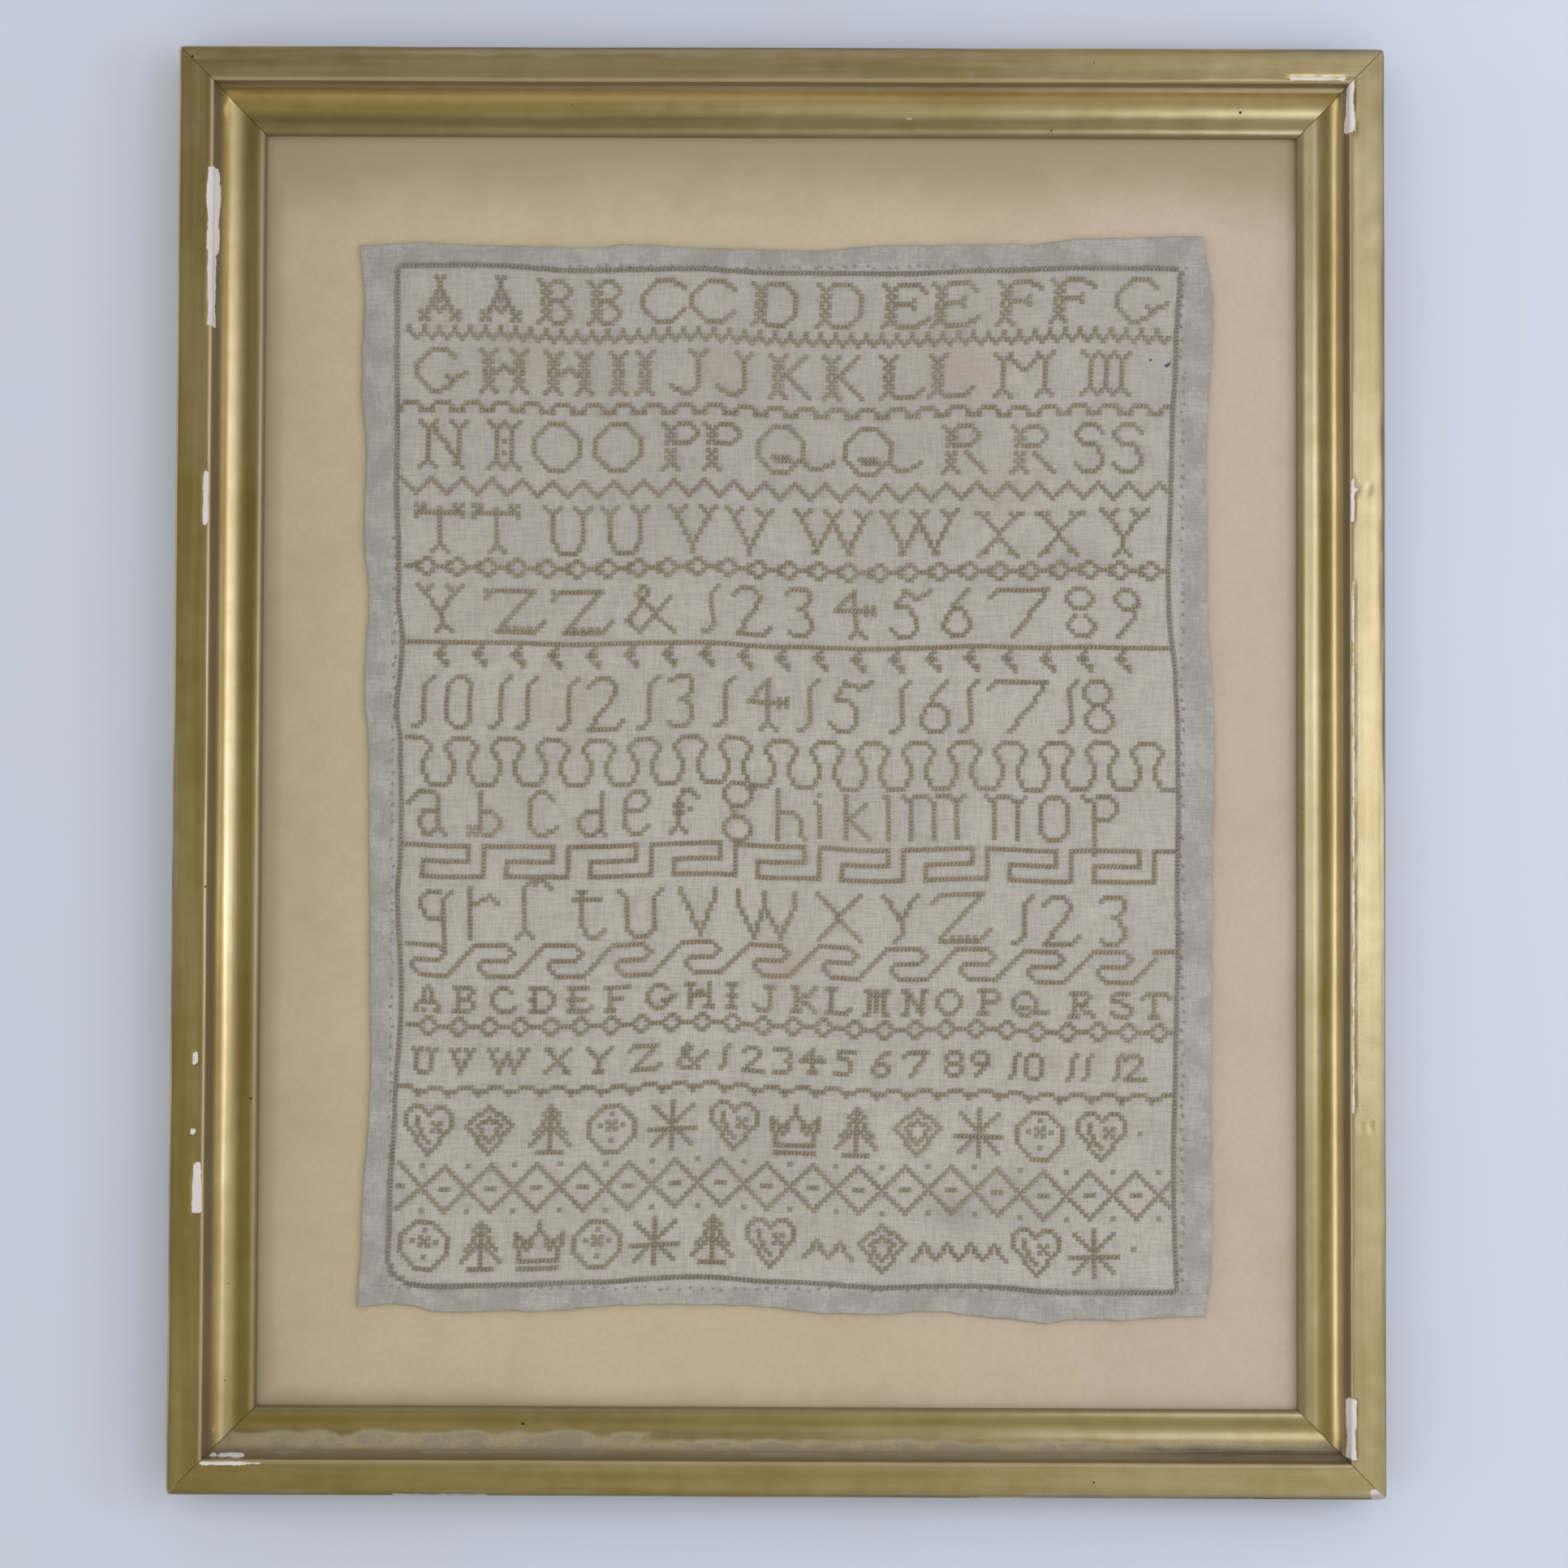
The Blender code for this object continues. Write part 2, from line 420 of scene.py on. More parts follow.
@dataclass(frozen=True)
class Finish:
    """A material of one piece; each kind of finish wires its own nodes."""

    name: str

    def material(self) -> bpy.types.Material:
        """Build the finish.

        Returns:
            The material.
        """
        made = bpy.data.materials.new(self.name)
        made.use_nodes = True
        wiring = Wiring(made.node_tree)
        self.wire(wiring, made.node_tree.nodes["Principled BSDF"])
        return made

    def wire(self, wiring: Wiring, shader: bpy.types.Node) -> None:
        """Join the finish's nodes to its shader."""
        raise NotImplementedError

    def bump(self, wiring: Wiring, shader: bpy.types.Node, height: object, depth: float) -> None:
        """Feed a height through a bump node to the shader's normal."""
        made = wiring.node("Bump", {"Height": height, "Distance": depth, "Strength": 1.0})
        wiring.join(shader.inputs["Normal"], made.outputs[0])


@dataclass(frozen=True)
class GiltFinish(Finish):
    """Old bronze gilt on white gesso, rubbed along the length of its moulding."""

    grain: tuple = (1.0, 1.0, 1.0)
    gilt: tuple = (0.83, 0.705, 0.415)
    deep_gilt: tuple = (0.69, 0.560, 0.285)
    # colour of the patina and of the painted shade in the moulding's recesses and on its bead
    patina_and_shade: tuple = (0.125, 0.078, 0.028)
    bole: tuple = (0.40, 0.300, 0.190)
    gesso: tuple = (0.72, 0.67, 0.61)
    soot: tuple = (0.060, 0.042, 0.022)
    dust: tuple = (0.225, 0.188, 0.118)
    stained_gesso: tuple = (0.62, 0.52, 0.42)
    streaks_per_metre: float = 260.0
    flecks_per_metre: float = 150.0
    fleck_size: float = 0.09
    polish: tuple = (0.33, 0.42)
    metal: float = 0.94
    dull_roughness: float = 0.85
    relief: float = 0.06 * MM

    def wire(self, wiring: Wiring, shader: bpy.types.Node) -> None:
        """Join the gilt, its streaks, the gesso chips, soot, dust, and the patina with its painted shade.
        """
        place = wiring.place()
        along = wiring.stretched(place, self.grain)
        streak = wiring.noise(along, self.streaks_per_metre, 5.0)
        cloud = EFFECTS.use(wiring, Effect.MOTTLE, Place=place, Scale=28.0)["Cloud"]
        fine = wiring.noise(place, 1400.0, 2.0)
        tone = wiring.blend(0.6, streak, cloud)
        colour = wiring.mix(wiring.spread(tone, 0.25, 0.75), self.deep_gilt, self.gilt)
        soot_cloud = EFFECTS.use(wiring, Effect.MOTTLE, Place=along, Scale=160.0)["Cloud"]
        sooty = wiring.times(wiring.painted("soot"), wiring.plus(soot_cloud, 0.35))
        sooty = wiring.spread(sooty, 0.0, 1.0, 0.0, 0.9)
        dust_cloud = EFFECTS.use(wiring, Effect.MOTTLE, Place=place, Scale=120.0)["Cloud"]
        dusty = wiring.times(wiring.painted("dust"), wiring.plus(dust_cloud, 0.9))
        dusty = wiring.spread(dusty, 0.0, 1.6, 0.0, 0.88)
        bare = EFFECTS.use(
            wiring, Effect.WORN, Place=place, Reach=wiring.painted("gesso"), Ragged=0.9
        )["Mask"]
        rubbed = EFFECTS.use(
            wiring, Effect.WORN, Place=along, Reach=wiring.painted("rubbed"), Ragged=2.6
        )["Mask"]
        chalk = wiring.larger(bare, rubbed)
        flecks = EFFECTS.use(
            wiring, Effect.FLECK, Place=place, Scale=self.flecks_per_metre, Size=self.fleck_size
        )["Mask"]
        colour = wiring.mix(wiring.painted("bole"), colour, self.bole)
        # patina and painted shade in the step, crack and sight edge; painted shade dulls the bead
        colour = wiring.mix(wiring.painted("patina_and_shade"), colour, self.patina_and_shade)
        colour = wiring.mix(dusty, colour, self.dust)
        stained = wiring.spread(cloud, 0.0, 1.0, 0.0, 0.35)
        chalk_tone = wiring.mix(stained, self.gesso, self.stained_gesso)
        colour = wiring.mix(chalk, colour, chalk_tone)
        colour = wiring.mix(wiring.larger(sooty, flecks), colour, self.soot)
        dull = wiring.larger(wiring.painted("bole"), wiring.painted("patina_and_shade"))
        covered = wiring.larger(chalk, wiring.larger(dusty, sooty))
        covered = wiring.larger(covered, wiring.times(dull, 0.75))
        wiring.join(shader.inputs["Base Color"], colour)
        wiring.join(shader.inputs["Metallic"], wiring.spread(covered, 0.0, 1.0, self.metal, 0.0))
        rough = wiring.spread(streak, 0.3, 0.7, *self.polish)
        rough = wiring.larger(rough, wiring.times(covered, self.dull_roughness))
        wiring.join(shader.inputs["Roughness"], rough)
        relief = wiring.blend(0.7, streak, fine)
        relief = wiring.less(relief, wiring.times(chalk, 2.2))
        self.bump(wiring, shader, relief, self.relief)


@dataclass(frozen=True)
class CardFinish(Finish):
    """Matt paper-faced board, with painted shade towards its left, under the top moulding and round its
    sight edge, and painted light towards the window.
    """

    face: tuple = (0.560, 0.462, 0.290)
    # colour of the mottle and of the painted shade
    toned_and_shaded: tuple = (0.385, 0.300, 0.178)
    # painted light: the board bluer and pinker towards the window at the right
    painted_window_tint: tuple = (0.565, 0.452, 0.335)
    foxing: tuple = (0.30, 0.20, 0.11)
    speck: tuple = (0.42, 0.335, 0.21)
    spots_per_metre: float = 42.0
    spot_size: float = 0.06
    relief: float = 0.05 * MM

    def wire(self, wiring: Wiring, shader: bpy.types.Node) -> None:
        """Join the paper's mottle, its painted shade and painted window light, foxing and felted surface.
        """
        place = wiring.place()
        cloud = EFFECTS.use(wiring, Effect.MOTTLE, Place=place, Scale=22.0)["Cloud"]
        fibre = wiring.noise(place, 1900.0, 4.0)
        speckle = wiring.noise(place, 520.0, 3.0)
        # painted light: towards the window the board turns bluer and pinker
        colour = wiring.mix(wiring.painted("painted_window_tint"), self.face, self.painted_window_tint)
        # mottle, plus painted shade by the left side, under the top moulding and round the sight edge
        shade = wiring.plus(wiring.times(cloud, 0.28), wiring.painted("toned_and_shaded"))
        colour = wiring.mix(wiring.spread(shade, 0.0, 1.0), colour, self.toned_and_shaded)
        grain = wiring.spread(speckle, 0.35, 0.65, 0.0, 0.16)
        colour = wiring.mix(grain, colour, self.speck)
        spots = EFFECTS.use(
            wiring, Effect.FLECK, Place=place, Scale=self.spots_per_metre, Size=self.spot_size
        )["Mask"]
        colour = wiring.mix(wiring.times(spots, 0.55), colour, self.foxing)
        wiring.join(shader.inputs["Base Color"], colour)
        shader.inputs["Roughness"].default_value = 0.92
        shader.inputs["Specular IOR Level"].default_value = 0.25
        self.bump(wiring, shader, wiring.plus(fibre, speckle), self.relief)


@dataclass(frozen=True)
class LinenFinish(Finish):
    """Undyed plain-woven linen, greyed at the hem and lightly stained, with painted shade between its
    threads and over its upper field.
    """

    field_tone: tuple = (0.608, 0.558, 0.448)
    margin: tuple = (0.575, 0.550, 0.470)
    hem: tuple = (0.412, 0.400, 0.335)
    slub: tuple = (0.300, 0.272, 0.225)
    # colour of the stains and of the painted shade over the upper field
    stain_and_shade: tuple = (0.300, 0.258, 0.225)
    rust: tuple = (0.480, 0.330, 0.235)
    ink: tuple = (0.050, 0.055, 0.080)
    cloudy: tuple = (0.40, 0.355, 0.285)
    # painted shade between the threads
    thread_gap_shade: tuple = (0.22, 0.195, 0.155)
    threads_per_metre: float = 1640.0
    relief: float = 0.12 * MM

    def wire(self, wiring: Wiring, shader: bpy.types.Node) -> None:
        """Join the weave with painted shade between its threads, the tones of field and hem, and the stains
        with the painted shade over the upper field.
        """
        place = wiring.place()
        weave = EFFECTS.use(wiring, Effect.WEAVE, Place=place, Count=self.threads_per_metre)
        cloud = EFFECTS.use(wiring, Effect.MOTTLE, Place=place, Scale=30.0)["Cloud"]
        blotch = EFFECTS.use(wiring, Effect.MOTTLE, Place=place, Scale=110.0)["Cloud"]
        colour = wiring.mix(wiring.painted("margin"), self.field_tone, self.margin)
        greyed = wiring.spread(blotch, 0.1, 0.8, 0.25, 1.0)
        hem_share = wiring.times(wiring.painted("hem"), greyed)
        colour = wiring.mix(hem_share, colour, self.hem)
        colour = wiring.mix(wiring.spread(cloud, 0.0, 1.0, 0.0, 0.22), colour, self.cloudy)
        slub_share = wiring.spread(weave["Thread"], 0.42, 0.62, 0.0, 0.36)
        colour = wiring.mix(slub_share, colour, self.slub)
        # painted shade where the weave dips between threads
        between = wiring.spread(weave["Height"], 0.2, 0.75, 0.42, 0.0)
        colour = wiring.mix(between, colour, self.thread_gap_shade)
        uneven = wiring.spread(blotch, 0.0, 1.0, 0.55, 1.0)
        # stains, and the painted shade over the upper field
        stained = wiring.times(wiring.painted("stain_and_shade"), uneven)
        colour = wiring.mix(stained, colour, self.stain_and_shade)
        colour = wiring.mix(wiring.painted("rust"), colour, self.rust)
        inked = EFFECTS.use(
            wiring, Effect.WORN, Place=place, Reach=wiring.painted("ink"), Ragged=1.1
        )["Mask"]
        colour = wiring.mix(wiring.times(inked, 0.85), colour, self.ink)
        wiring.join(shader.inputs["Base Color"], colour)
        shader.inputs["Roughness"].default_value = 0.95
        shader.inputs["Specular IOR Level"].default_value = 0.15
        shader.inputs["Sheen Weight"].default_value = 0.15
        self.bump(wiring, shader, wiring.plus(weave["Height"], weave["Thread"]), self.relief)


@dataclass(frozen=True)
class ThreadFinish(Finish):
    """Faded brown sewing silk, paler and darker from one length to the next."""

    pale: tuple = (0.430, 0.362, 0.250)
    dark: tuple = (0.290, 0.233, 0.150)
    twist: tuple = (0.150, 0.118, 0.072)
    relief: float = 0.04 * MM

    def wire(self, wiring: Wiring, shader: bpy.types.Node) -> None:
        """Join the lengths' tones and the twist of the strand."""
        place = wiring.place()
        length = EFFECTS.use(wiring, Effect.MOTTLE, Place=place, Scale=48.0)["Cloud"]
        strand = wiring.noise(place, 5200.0, 2.0)
        tone = wiring.blend(0.6, length, wiring.painted("tone"))
        colour = wiring.mix(tone, self.dark, self.pale)
        colour = wiring.mix(wiring.spread(strand, 0.35, 0.65, 0.0, 0.35), colour, self.twist)
        wiring.join(shader.inputs["Base Color"], colour)
        shader.inputs["Roughness"].default_value = 0.72
        shader.inputs["Sheen Weight"].default_value = 0.2
        self.bump(wiring, shader, strand, self.relief)


@dataclass(frozen=True)
class TableFinish(Finish):
    """The plain pale cloth-white surface that the frame lies on."""

    white: tuple = (0.635, 0.680, 0.735)
    warmer: tuple = (0.630, 0.665, 0.690)

    def wire(self, wiring: Wiring, shader: bpy.types.Node) -> None:
        """Join a faint unevenness."""
        cloud = EFFECTS.use(wiring, Effect.MOTTLE, Place=wiring.place(), Scale=5.0)["Cloud"]
        colour = wiring.mix(wiring.spread(cloud, 0.0, 1.0, 0.0, 0.5), self.white, self.warmer)
        wiring.join(shader.inputs["Base Color"], colour)
        shader.inputs["Roughness"].default_value = 0.9


# --- the frame ---------------------------------------------------------------


class Side(Enum):
    """The four mouldings.

    Each has its name, whether it runs along X, its outward sign, the strength of the
    patina and painted shade in its step, and that of the painted shade that dulls its bead.
    """

    # painted shade is weak in the top step, which the light reaches, and strongest on the right bead,
    # dulling its shine
    BOTTOM = ("bottom", True, -1, 0.75, 0.05)
    RIGHT = ("right", False, 1, 0.80, 0.36)
    TOP = ("top", True, 1, 0.22, 0.15)
    LEFT = ("left", False, -1, 0.85, 0.10)

    @property
    def level(self) -> bool:
        """Whether the moulding runs along X."""
        return self.value[1]


@dataclass(frozen=True)
class Wear:
    """One worn place on a moulding, in millimetres.

    start and end are places along the side's own axis; inset is how far the
    middle of the place lies in from the outer side, and reach its half width.
    """

    side: Side
    start: float
    end: float
    inset: float
    reach: float


GESSO_CHIPS = (
    Wear(Side.LEFT, 163, 190, 11.0, 1.6),
    Wear(Side.LEFT, 139, 165, 10.6, 0.9),
    Wear(Side.LEFT, 76, 93, 9.7, 0.8),
    Wear(Side.LEFT, -140.5, -124.5, 8.9, 1.3),
    Wear(Side.LEFT, -94, -90, 8.0, 0.7),
    Wear(Side.LEFT, -116, -114, 7.6, 0.6),
    Wear(Side.TOP, 161, 179, 9.6, 0.6),
    Wear(Side.TOP, 40, 41.5, 20.6, 0.5),
    Wear(Side.RIGHT, 202, 219, 10.6, 1.1),
    Wear(Side.RIGHT, -216, -197, 10.8, 1.3),
    Wear(Side.RIGHT, -108, 60, 10.1, 0.3),
    Wear(Side.RIGHT, 78, 92, 10.2, 0.55),
    Wear(Side.RIGHT, 88.1, 88.8, 6.3, 4.3),
    Wear(Side.RIGHT, -112.4, -111.9, 6.3, 4.0),
    Wear(Side.BOTTOM, -181, -161, 9.9, 0.6),
    Wear(Side.BOTTOM, -178, -165, 11.9, 0.6),
    Wear(Side.BOTTOM, 186, 191, 1.6, 1.6),
    Wear(Side.BOTTOM, -120, -90, 0.3, 0.3),
    Wear(Side.BOTTOM, 60, 150, 0.2, 0.3),
)
SOOT = (
    Wear(Side.TOP, -150, 60, 0.4, 2.3),
    Wear(Side.TOP, -191, -183, 1.0, 2.6),
    Wear(Side.TOP, 160, 191, 0.6, 1.8),
    Wear(Side.BOTTOM, -185, 190, 0.0, 1.2),
    Wear(Side.BOTTOM, 120, 186, 13.0, 1.5),
    Wear(Side.LEFT, -232, -120, 0.0, 1.5),
    Wear(Side.LEFT, -90, 0, 0.0, 1.1),
    Wear(Side.RIGHT, -225, 225, 0.8, 0.9),
)
DUST = (Wear(Side.BOTTOM, -185, 190, 14.2, 1.9), Wear(Side.BOTTOM, -185, -40, 16.2, 2.2))


@dataclass
class Moulding:
    """The four mitred lengths of scoop moulding, with their chips and dents."""

    width: float
    height: float
    depth: float
    rail: float = 26.4 * MM
    joint: float = 0.12 * MM
    corner_round: float = 1.6 * MM
    step: float = 1.6 * MM
    chip_depth: float = 0.35 * MM
    # how fast a chip in the outer arris ends down the side: millimetres of reach to each one
    side_fade: float = 0.8
    chamfer: float = 1.0 * MM
    band_end: float = 10.0 * MM
    arris: float = 1.1 * MM
    foot: float = 13.2 * MM
    foot_height: float = 13.6 * MM
    hollow: float = 20.3 * MM
    hollow_height: float = 8.0 * MM
    bead_top: float = 24.0 * MM
    bead_rise: float = 0.5 * MM
    rebate: float = 6 * MM
    rebate_height: float = 5.8 * MM
    # places rubbed through to the gesso: millimetres in, and how far short of bare
    rubbed_lines: tuple = ((0.4, -0.85), (10.4, -1.0), (25.9, -1.3))
    # where each shade begins and is full: millimetres in
    step_shade: tuple = (10.9, 11.3, 12.6, 14.6)
    crack_shade: tuple = (10.9, 11.15, 11.6, 12.1)
    rim_shade: tuple = (0.2, 1.5)
    bead_shade: tuple = (20.5, 22.0)
    sight_shade: tuple = (24.7, 25.9)
    bole_shade: tuple = (9.5, 10.3, 11.12)
    streak_stretch: float = 0.03

    def profile(self) -> np.ndarray:
        """The moulding's outline as (inset, height), round from its outer foot."""
        points = [(0.0, height * MM) for height in (0, 4, 8, 12, 15)]
        edge = self.chamfer
        for turn in np.radians(np.linspace(0, 90, 5)):
            points.append((edge * (1 - np.cos(turn)), self.depth - edge * (1 - np.sin(turn))))
        band = np.linspace(edge, self.band_end, 13)[1:-1]
        points += [(inset, self.depth) for inset in band]
        centre = self.depth - self.arris
        for turn in np.radians(np.linspace(90, 0, 7)):
            out, up = self.arris * np.cos(turn), self.arris * np.sin(turn)
            points.append((self.band_end + out, centre + up))
        wall = self.band_end + self.arris
        points += [(wall + 0.05 * MM, 15.6 * MM), (wall + 0.1 * MM, 14.4 * MM)]
        points += [(wall + 0.4 * MM, self.foot_height + 0.1 * MM), (12.5 * MM, self.foot_height)]
        points += self.scoop() + self.bead()
        inner = self.rail - self.rebate
        points += [(self.rail, 7.0 * MM), (self.rail, self.rebate_height)]
        points += [(inner, self.rebate_height), (inner, 0.0), (11 * MM, 0.0)]
        return np.array(points)

    def scoop(self) -> list:
        """The hollow, a quarter of an ellipse from the step down to its lowest line."""
        run, drop = self.hollow - self.foot, self.foot_height - self.hollow_height
        return [
            (self.hollow - run * np.cos(turn), self.foot_height - drop * np.sin(turn))
            for turn in np.radians(np.linspace(0, 90, 17))
        ]

    def bead(self) -> list:
        """The soft rise out of the hollow and the rounding down to the sight edge."""
        run = self.bead_top - self.hollow
        points = []
        for share in np.linspace(0.15, 1, 9):
            rise = self.bead_rise * share * share * (3 - 2 * share)
            points.append((self.hollow + run * share, self.hollow_height + rise))
        top = self.hollow_height + self.bead_rise
        for turn in np.radians(np.linspace(15, 90, 7)):
            out = (self.rail - self.bead_top) * np.sin(turn)
            points.append((self.bead_top + out, top - 1.3 * MM * (1 - np.cos(turn))))
        return points

    def reach(
        self, worn: tuple, side: Side, along: np.ndarray, inset: np.ndarray, fade: float = 1.0
    ) -> np.ndarray:
        """How far each place lies inside the nearest worn one, in millimetres.

        Args:
            worn: the worn places.
            side: the moulding.
            along, inset: the places, in metres.
            fade: how many times slower a worn place ends lengthwise than across.

        Returns:
            Millimetres inside, or below nought outside, down to -3.
        """
        best = np.full(np.broadcast(along, inset).shape, -3.0)
        for place in (each for each in worn if each.side is side):
            middle = (place.start + place.end) / 2
            half = abs(place.end - place.start) / 2
            lengthwise = (half - np.abs(along / MM - middle)) / fade
            uneven = 0.28 * place.reach * ripple(along, 0 * inset, 7 * MM, int(middle) % 89)
            across = place.reach + uneven - np.abs(inset / MM - place.inset)
            best = np.maximum(best, np.minimum(lengthwise, across))
        return best

    def build(self, side: Side) -> bpy.types.Object:
        """Model one length of moulding.

        Args:
            side: which length.

        Returns:
            The piece, painted for its finish.
        """
        name, level, sign, step_patina_and_shade, bead_painted_shade = side.value
        profile = self.profile()
        inset, height = profile[:, 0][None, :], profile[:, 1][None, :]
        half_long = (self.width if level else self.height) / 2
        half_across = (self.height if level else self.width) / 2
        steps = int(2 * half_long / self.step)
        share = np.linspace(-1, 1, steps + 1)[:, None]
        along = share * (half_long - inset - self.joint)
        seed = list(Side).index(side) * 10
        below = np.maximum(self.depth - self.chamfer - height, 0) * (inset < self.chamfer)
        chipped = self.reach(GESSO_CHIPS, side, along, inset) - self.side_fade * below / MM
        chipped = np.maximum(chipped, -3.0)
        sunk = soft_step(chipped, -0.1, 0.25) * (height > 12 * MM) * self.chip_depth
        broad = ripple(along, inset, 38 * MM, seed) * 0.10 * MM
        uneven = broad + ripple(along, inset, 6 * MM, seed + 1) * 0.025 * MM
        exposed = soft_step(height, 6 * MM, 9 * MM)
        lift = uneven * exposed - sunk * (0.7 + 0.3 * ripple(along, inset, 2 * MM, seed + 2))
        bowed = ripple(along, 0 * inset, 70 * MM, seed + 3) * 0.12 * MM * (1 - share**8)
        tall = np.minimum(height + lift, self.depth)
        across = half_across - inset - np.abs(bowed) * (inset < self.rail - self.rebate)
        x, y = (along, across * sign) if level else (across * sign, along)
        x, y = self.rounded(x, y)
        points = np.stack(np.broadcast_arrays(x, y, tall), axis=-1).reshape(-1, 3)
        count = len(profile)
        faces = grid_faces(steps + 1, count, closed=True).tolist()
        faces.append(list(range(count))[::-1])
        faces.append([steps * count + index for index in range(count)])
        piece = make_piece(f"moulding_{name}", points, faces, sharp_deg=38)
        whole = np.broadcast_to(inset, along.shape)
        paint(piece, "gesso", chipped)
        worn = np.max([bias - np.abs(whole / MM - at) for at, bias in self.rubbed_lines], axis=0)
        paint(piece, "rubbed", np.maximum(worn, -3.0))
        # patina with painted shade in the step, crack and sight edge, and painted shade on the bead
        paint(piece, "patina_and_shade", self.patina_and_shade(whole, step_patina_and_shade, bead_painted_shade))
        begins, full, stops = (edge * MM for edge in self.bole_shade)
        paint(piece, "bole", 0.55 * soft_step(whole, begins, full) * (whole < stops))
        paint(piece, "soot", 0.75 * soft_step(self.reach(SOOT, side, along, inset, 12.0), -2.4, 1.6))
        paint(piece, "dust", soft_step(self.reach(DUST, side, along, inset, 5.0), -2.0, 1.6))
        return piece

    def patina_and_shade(self, inset: np.ndarray, step_patina_and_shade: float, bead_painted_shade: float) -> np.ndarray:
        """Darkening of the moulding's step and crack, on its bead and at both its rims: some patina, and
        painted shade in the step, the crack and at the sight edge, set side by side for how the light
        falls, with painted shade on the bead to dull its shine; the outer rim is simply made darker.

        Args:
            inset: how far in each place lies.
            step_patina_and_shade, bead_painted_shade: the strength in the step and on the bead.

        Returns:
            A share from 0 to 1 for each place.
        """

        def shade(edges: tuple) -> np.ndarray:
            """Rise over the first two edges and fall over the last two, if there are four."""
            rise, fall = soft_step(inset, edges[0] * MM, edges[1] * MM), 0.0
            if len(edges) > 2:
                fall = soft_step(inset, edges[2] * MM, edges[3] * MM)
            return rise * (1 - fall)

        rim = 0.6 * (1 - shade(self.rim_shade))
        bead = bead_painted_shade * shade(self.bead_shade) * (inset < self.sight_shade[1] * MM)
        bead = np.maximum(bead, 0.85 * shade(self.sight_shade))
        step, crack = shade(self.step_shade) * step_patina_and_shade, 0.8 * shade(self.crack_shade)
        return np.max([step, crack, rim, bead], axis=0)

    def rounded(self, x: np.ndarray, y: np.ndarray) -> tuple:
        """Round the frame's four outer corners in plan.

        Args:
            x, y: places on the frame.

        Returns:
            The places, drawn in where they lay outside the rounding.
        """
        x, y = np.broadcast_arrays(x, y)
        corner_x = np.sign(x) * (self.width / 2 - self.corner_round)
        corner_y = np.sign(y) * (self.height / 2 - self.corner_round)
        out_x, out_y = x - corner_x, y - corner_y
        beyond = (out_x * np.sign(x) > 0) & (out_y * np.sign(y) > 0)
        away = np.hypot(out_x, out_y)
        pull = np.where(beyond, np.minimum(1.0, self.corner_round / np.maximum(away, 1e-9)), 1.0)
        return corner_x + out_x * pull, corner_y + out_y * pull

    def dress(self, piece: bpy.types.Object, side: Side) -> None:
        """Gild a moulding, with its streaks along it."""
        long = self.streak_stretch
        grain = (long, 1.0, 1.0) if side.level else (1.0, long, 1.0)
        piece.data.materials.append(GiltFinish(f"gilt_{side.value[0]}", grain).material())

    def make(self) -> list:
        """Build, dress and place all four lengths.

        Returns:
            The pieces.
        """
        pieces = []
        for side in Side:
            piece = self.build(side)
            self.dress(piece, side)
            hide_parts(f"rail_{side.value[0]}")
            report(piece)
            pieces.append(piece)
        return pieces


@dataclass
class MountBoard:
    """The pale board in the rebate, eased at its edges and very slightly bowed."""

    low: np.ndarray
    high: np.ndarray
    columns: int = 90
    rows: int = 108
    bow: float = 0.10 * MM
    edge: float = 0.5 * MM
    sight: tuple = (164.6 * MM, 202.1 * MM)

    def top(self, x: np.ndarray, y: np.ndarray) -> np.ndarray:
        """The height of the board's face."""
        wave = ripple(x, y, 150 * MM, 51) * self.bow
        near = np.minimum(self.high[0] - np.abs(x), self.high[1] - np.abs(y))
        return self.high[2] + (wave - self.bow) * soft_step(near, 4 * MM, 40 * MM)

    def build(self) -> bpy.types.Object:
        """Model the board as one closed form.

        Returns:
            The piece, painted for its finish.
        """
        xs = self.spaced(self.high[0], self.columns)
        ys = self.spaced(self.high[1], self.rows)
        x, y = np.meshgrid(xs, ys)
        near = np.minimum(self.high[0] - np.abs(x), self.high[1] - np.abs(y))
        ease = np.sqrt(np.clip(1 - (1 - np.clip(near / self.edge, 0, 1)) ** 2, 0, 1))
        face = self.top(x, y) - self.edge * (1 - ease)
        back = np.full_like(face, self.low[2]) + self.edge * 0.5 * (1 - ease)
        points, faces = closed_sheet(x, y, face, back)
        piece = make_piece("board", points, faces, sharp_deg=45)
        x, y = points[:, 0], points[:, 1]
        # painted shade: darker towards the left, under the top moulding and round the sight edge, most at
        # the left
        left = soft_step(-x, 120 * MM, self.sight[0])
        under = soft_step(y, 168 * MM, 202 * MM)
        inside = np.minimum(self.sight[0] - np.abs(x), self.sight[1] - np.abs(y))
        rim = 1 - soft_step(inside, 0, 8 * MM)
        shaded = 0.25 + 0.4 * soft_step(-x, -60 * MM, 150 * MM)
        paint(piece, "toned_and_shaded", 0.22 * left + 0.80 * under + shaded * rim)
        # painted light, stronger towards the window at the right
        paint(piece, "painted_window_tint", soft_step(x, -60 * MM, 165 * MM))
        return piece

    def spaced(self, half: float, count: int) -> np.ndarray:
        """Grid lines across the board, with close ones at its eased edges."""
        rim = half - self.edge * np.array((0.0, 0.1, 0.35, 1.0))
        inner = np.linspace(-rim[-1], rim[-1], count)
        return np.concatenate((-rim[:-1], inner, rim[:-1][::-1]))

    def make(self) -> bpy.types.Object:
        """Build, dress and place the board.

        Returns:
            The piece.
        """
        piece = self.build()
        piece.data.materials.append(CardFinish("mount_card").material())
        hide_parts("mount_board")
        report(piece)
        return piece


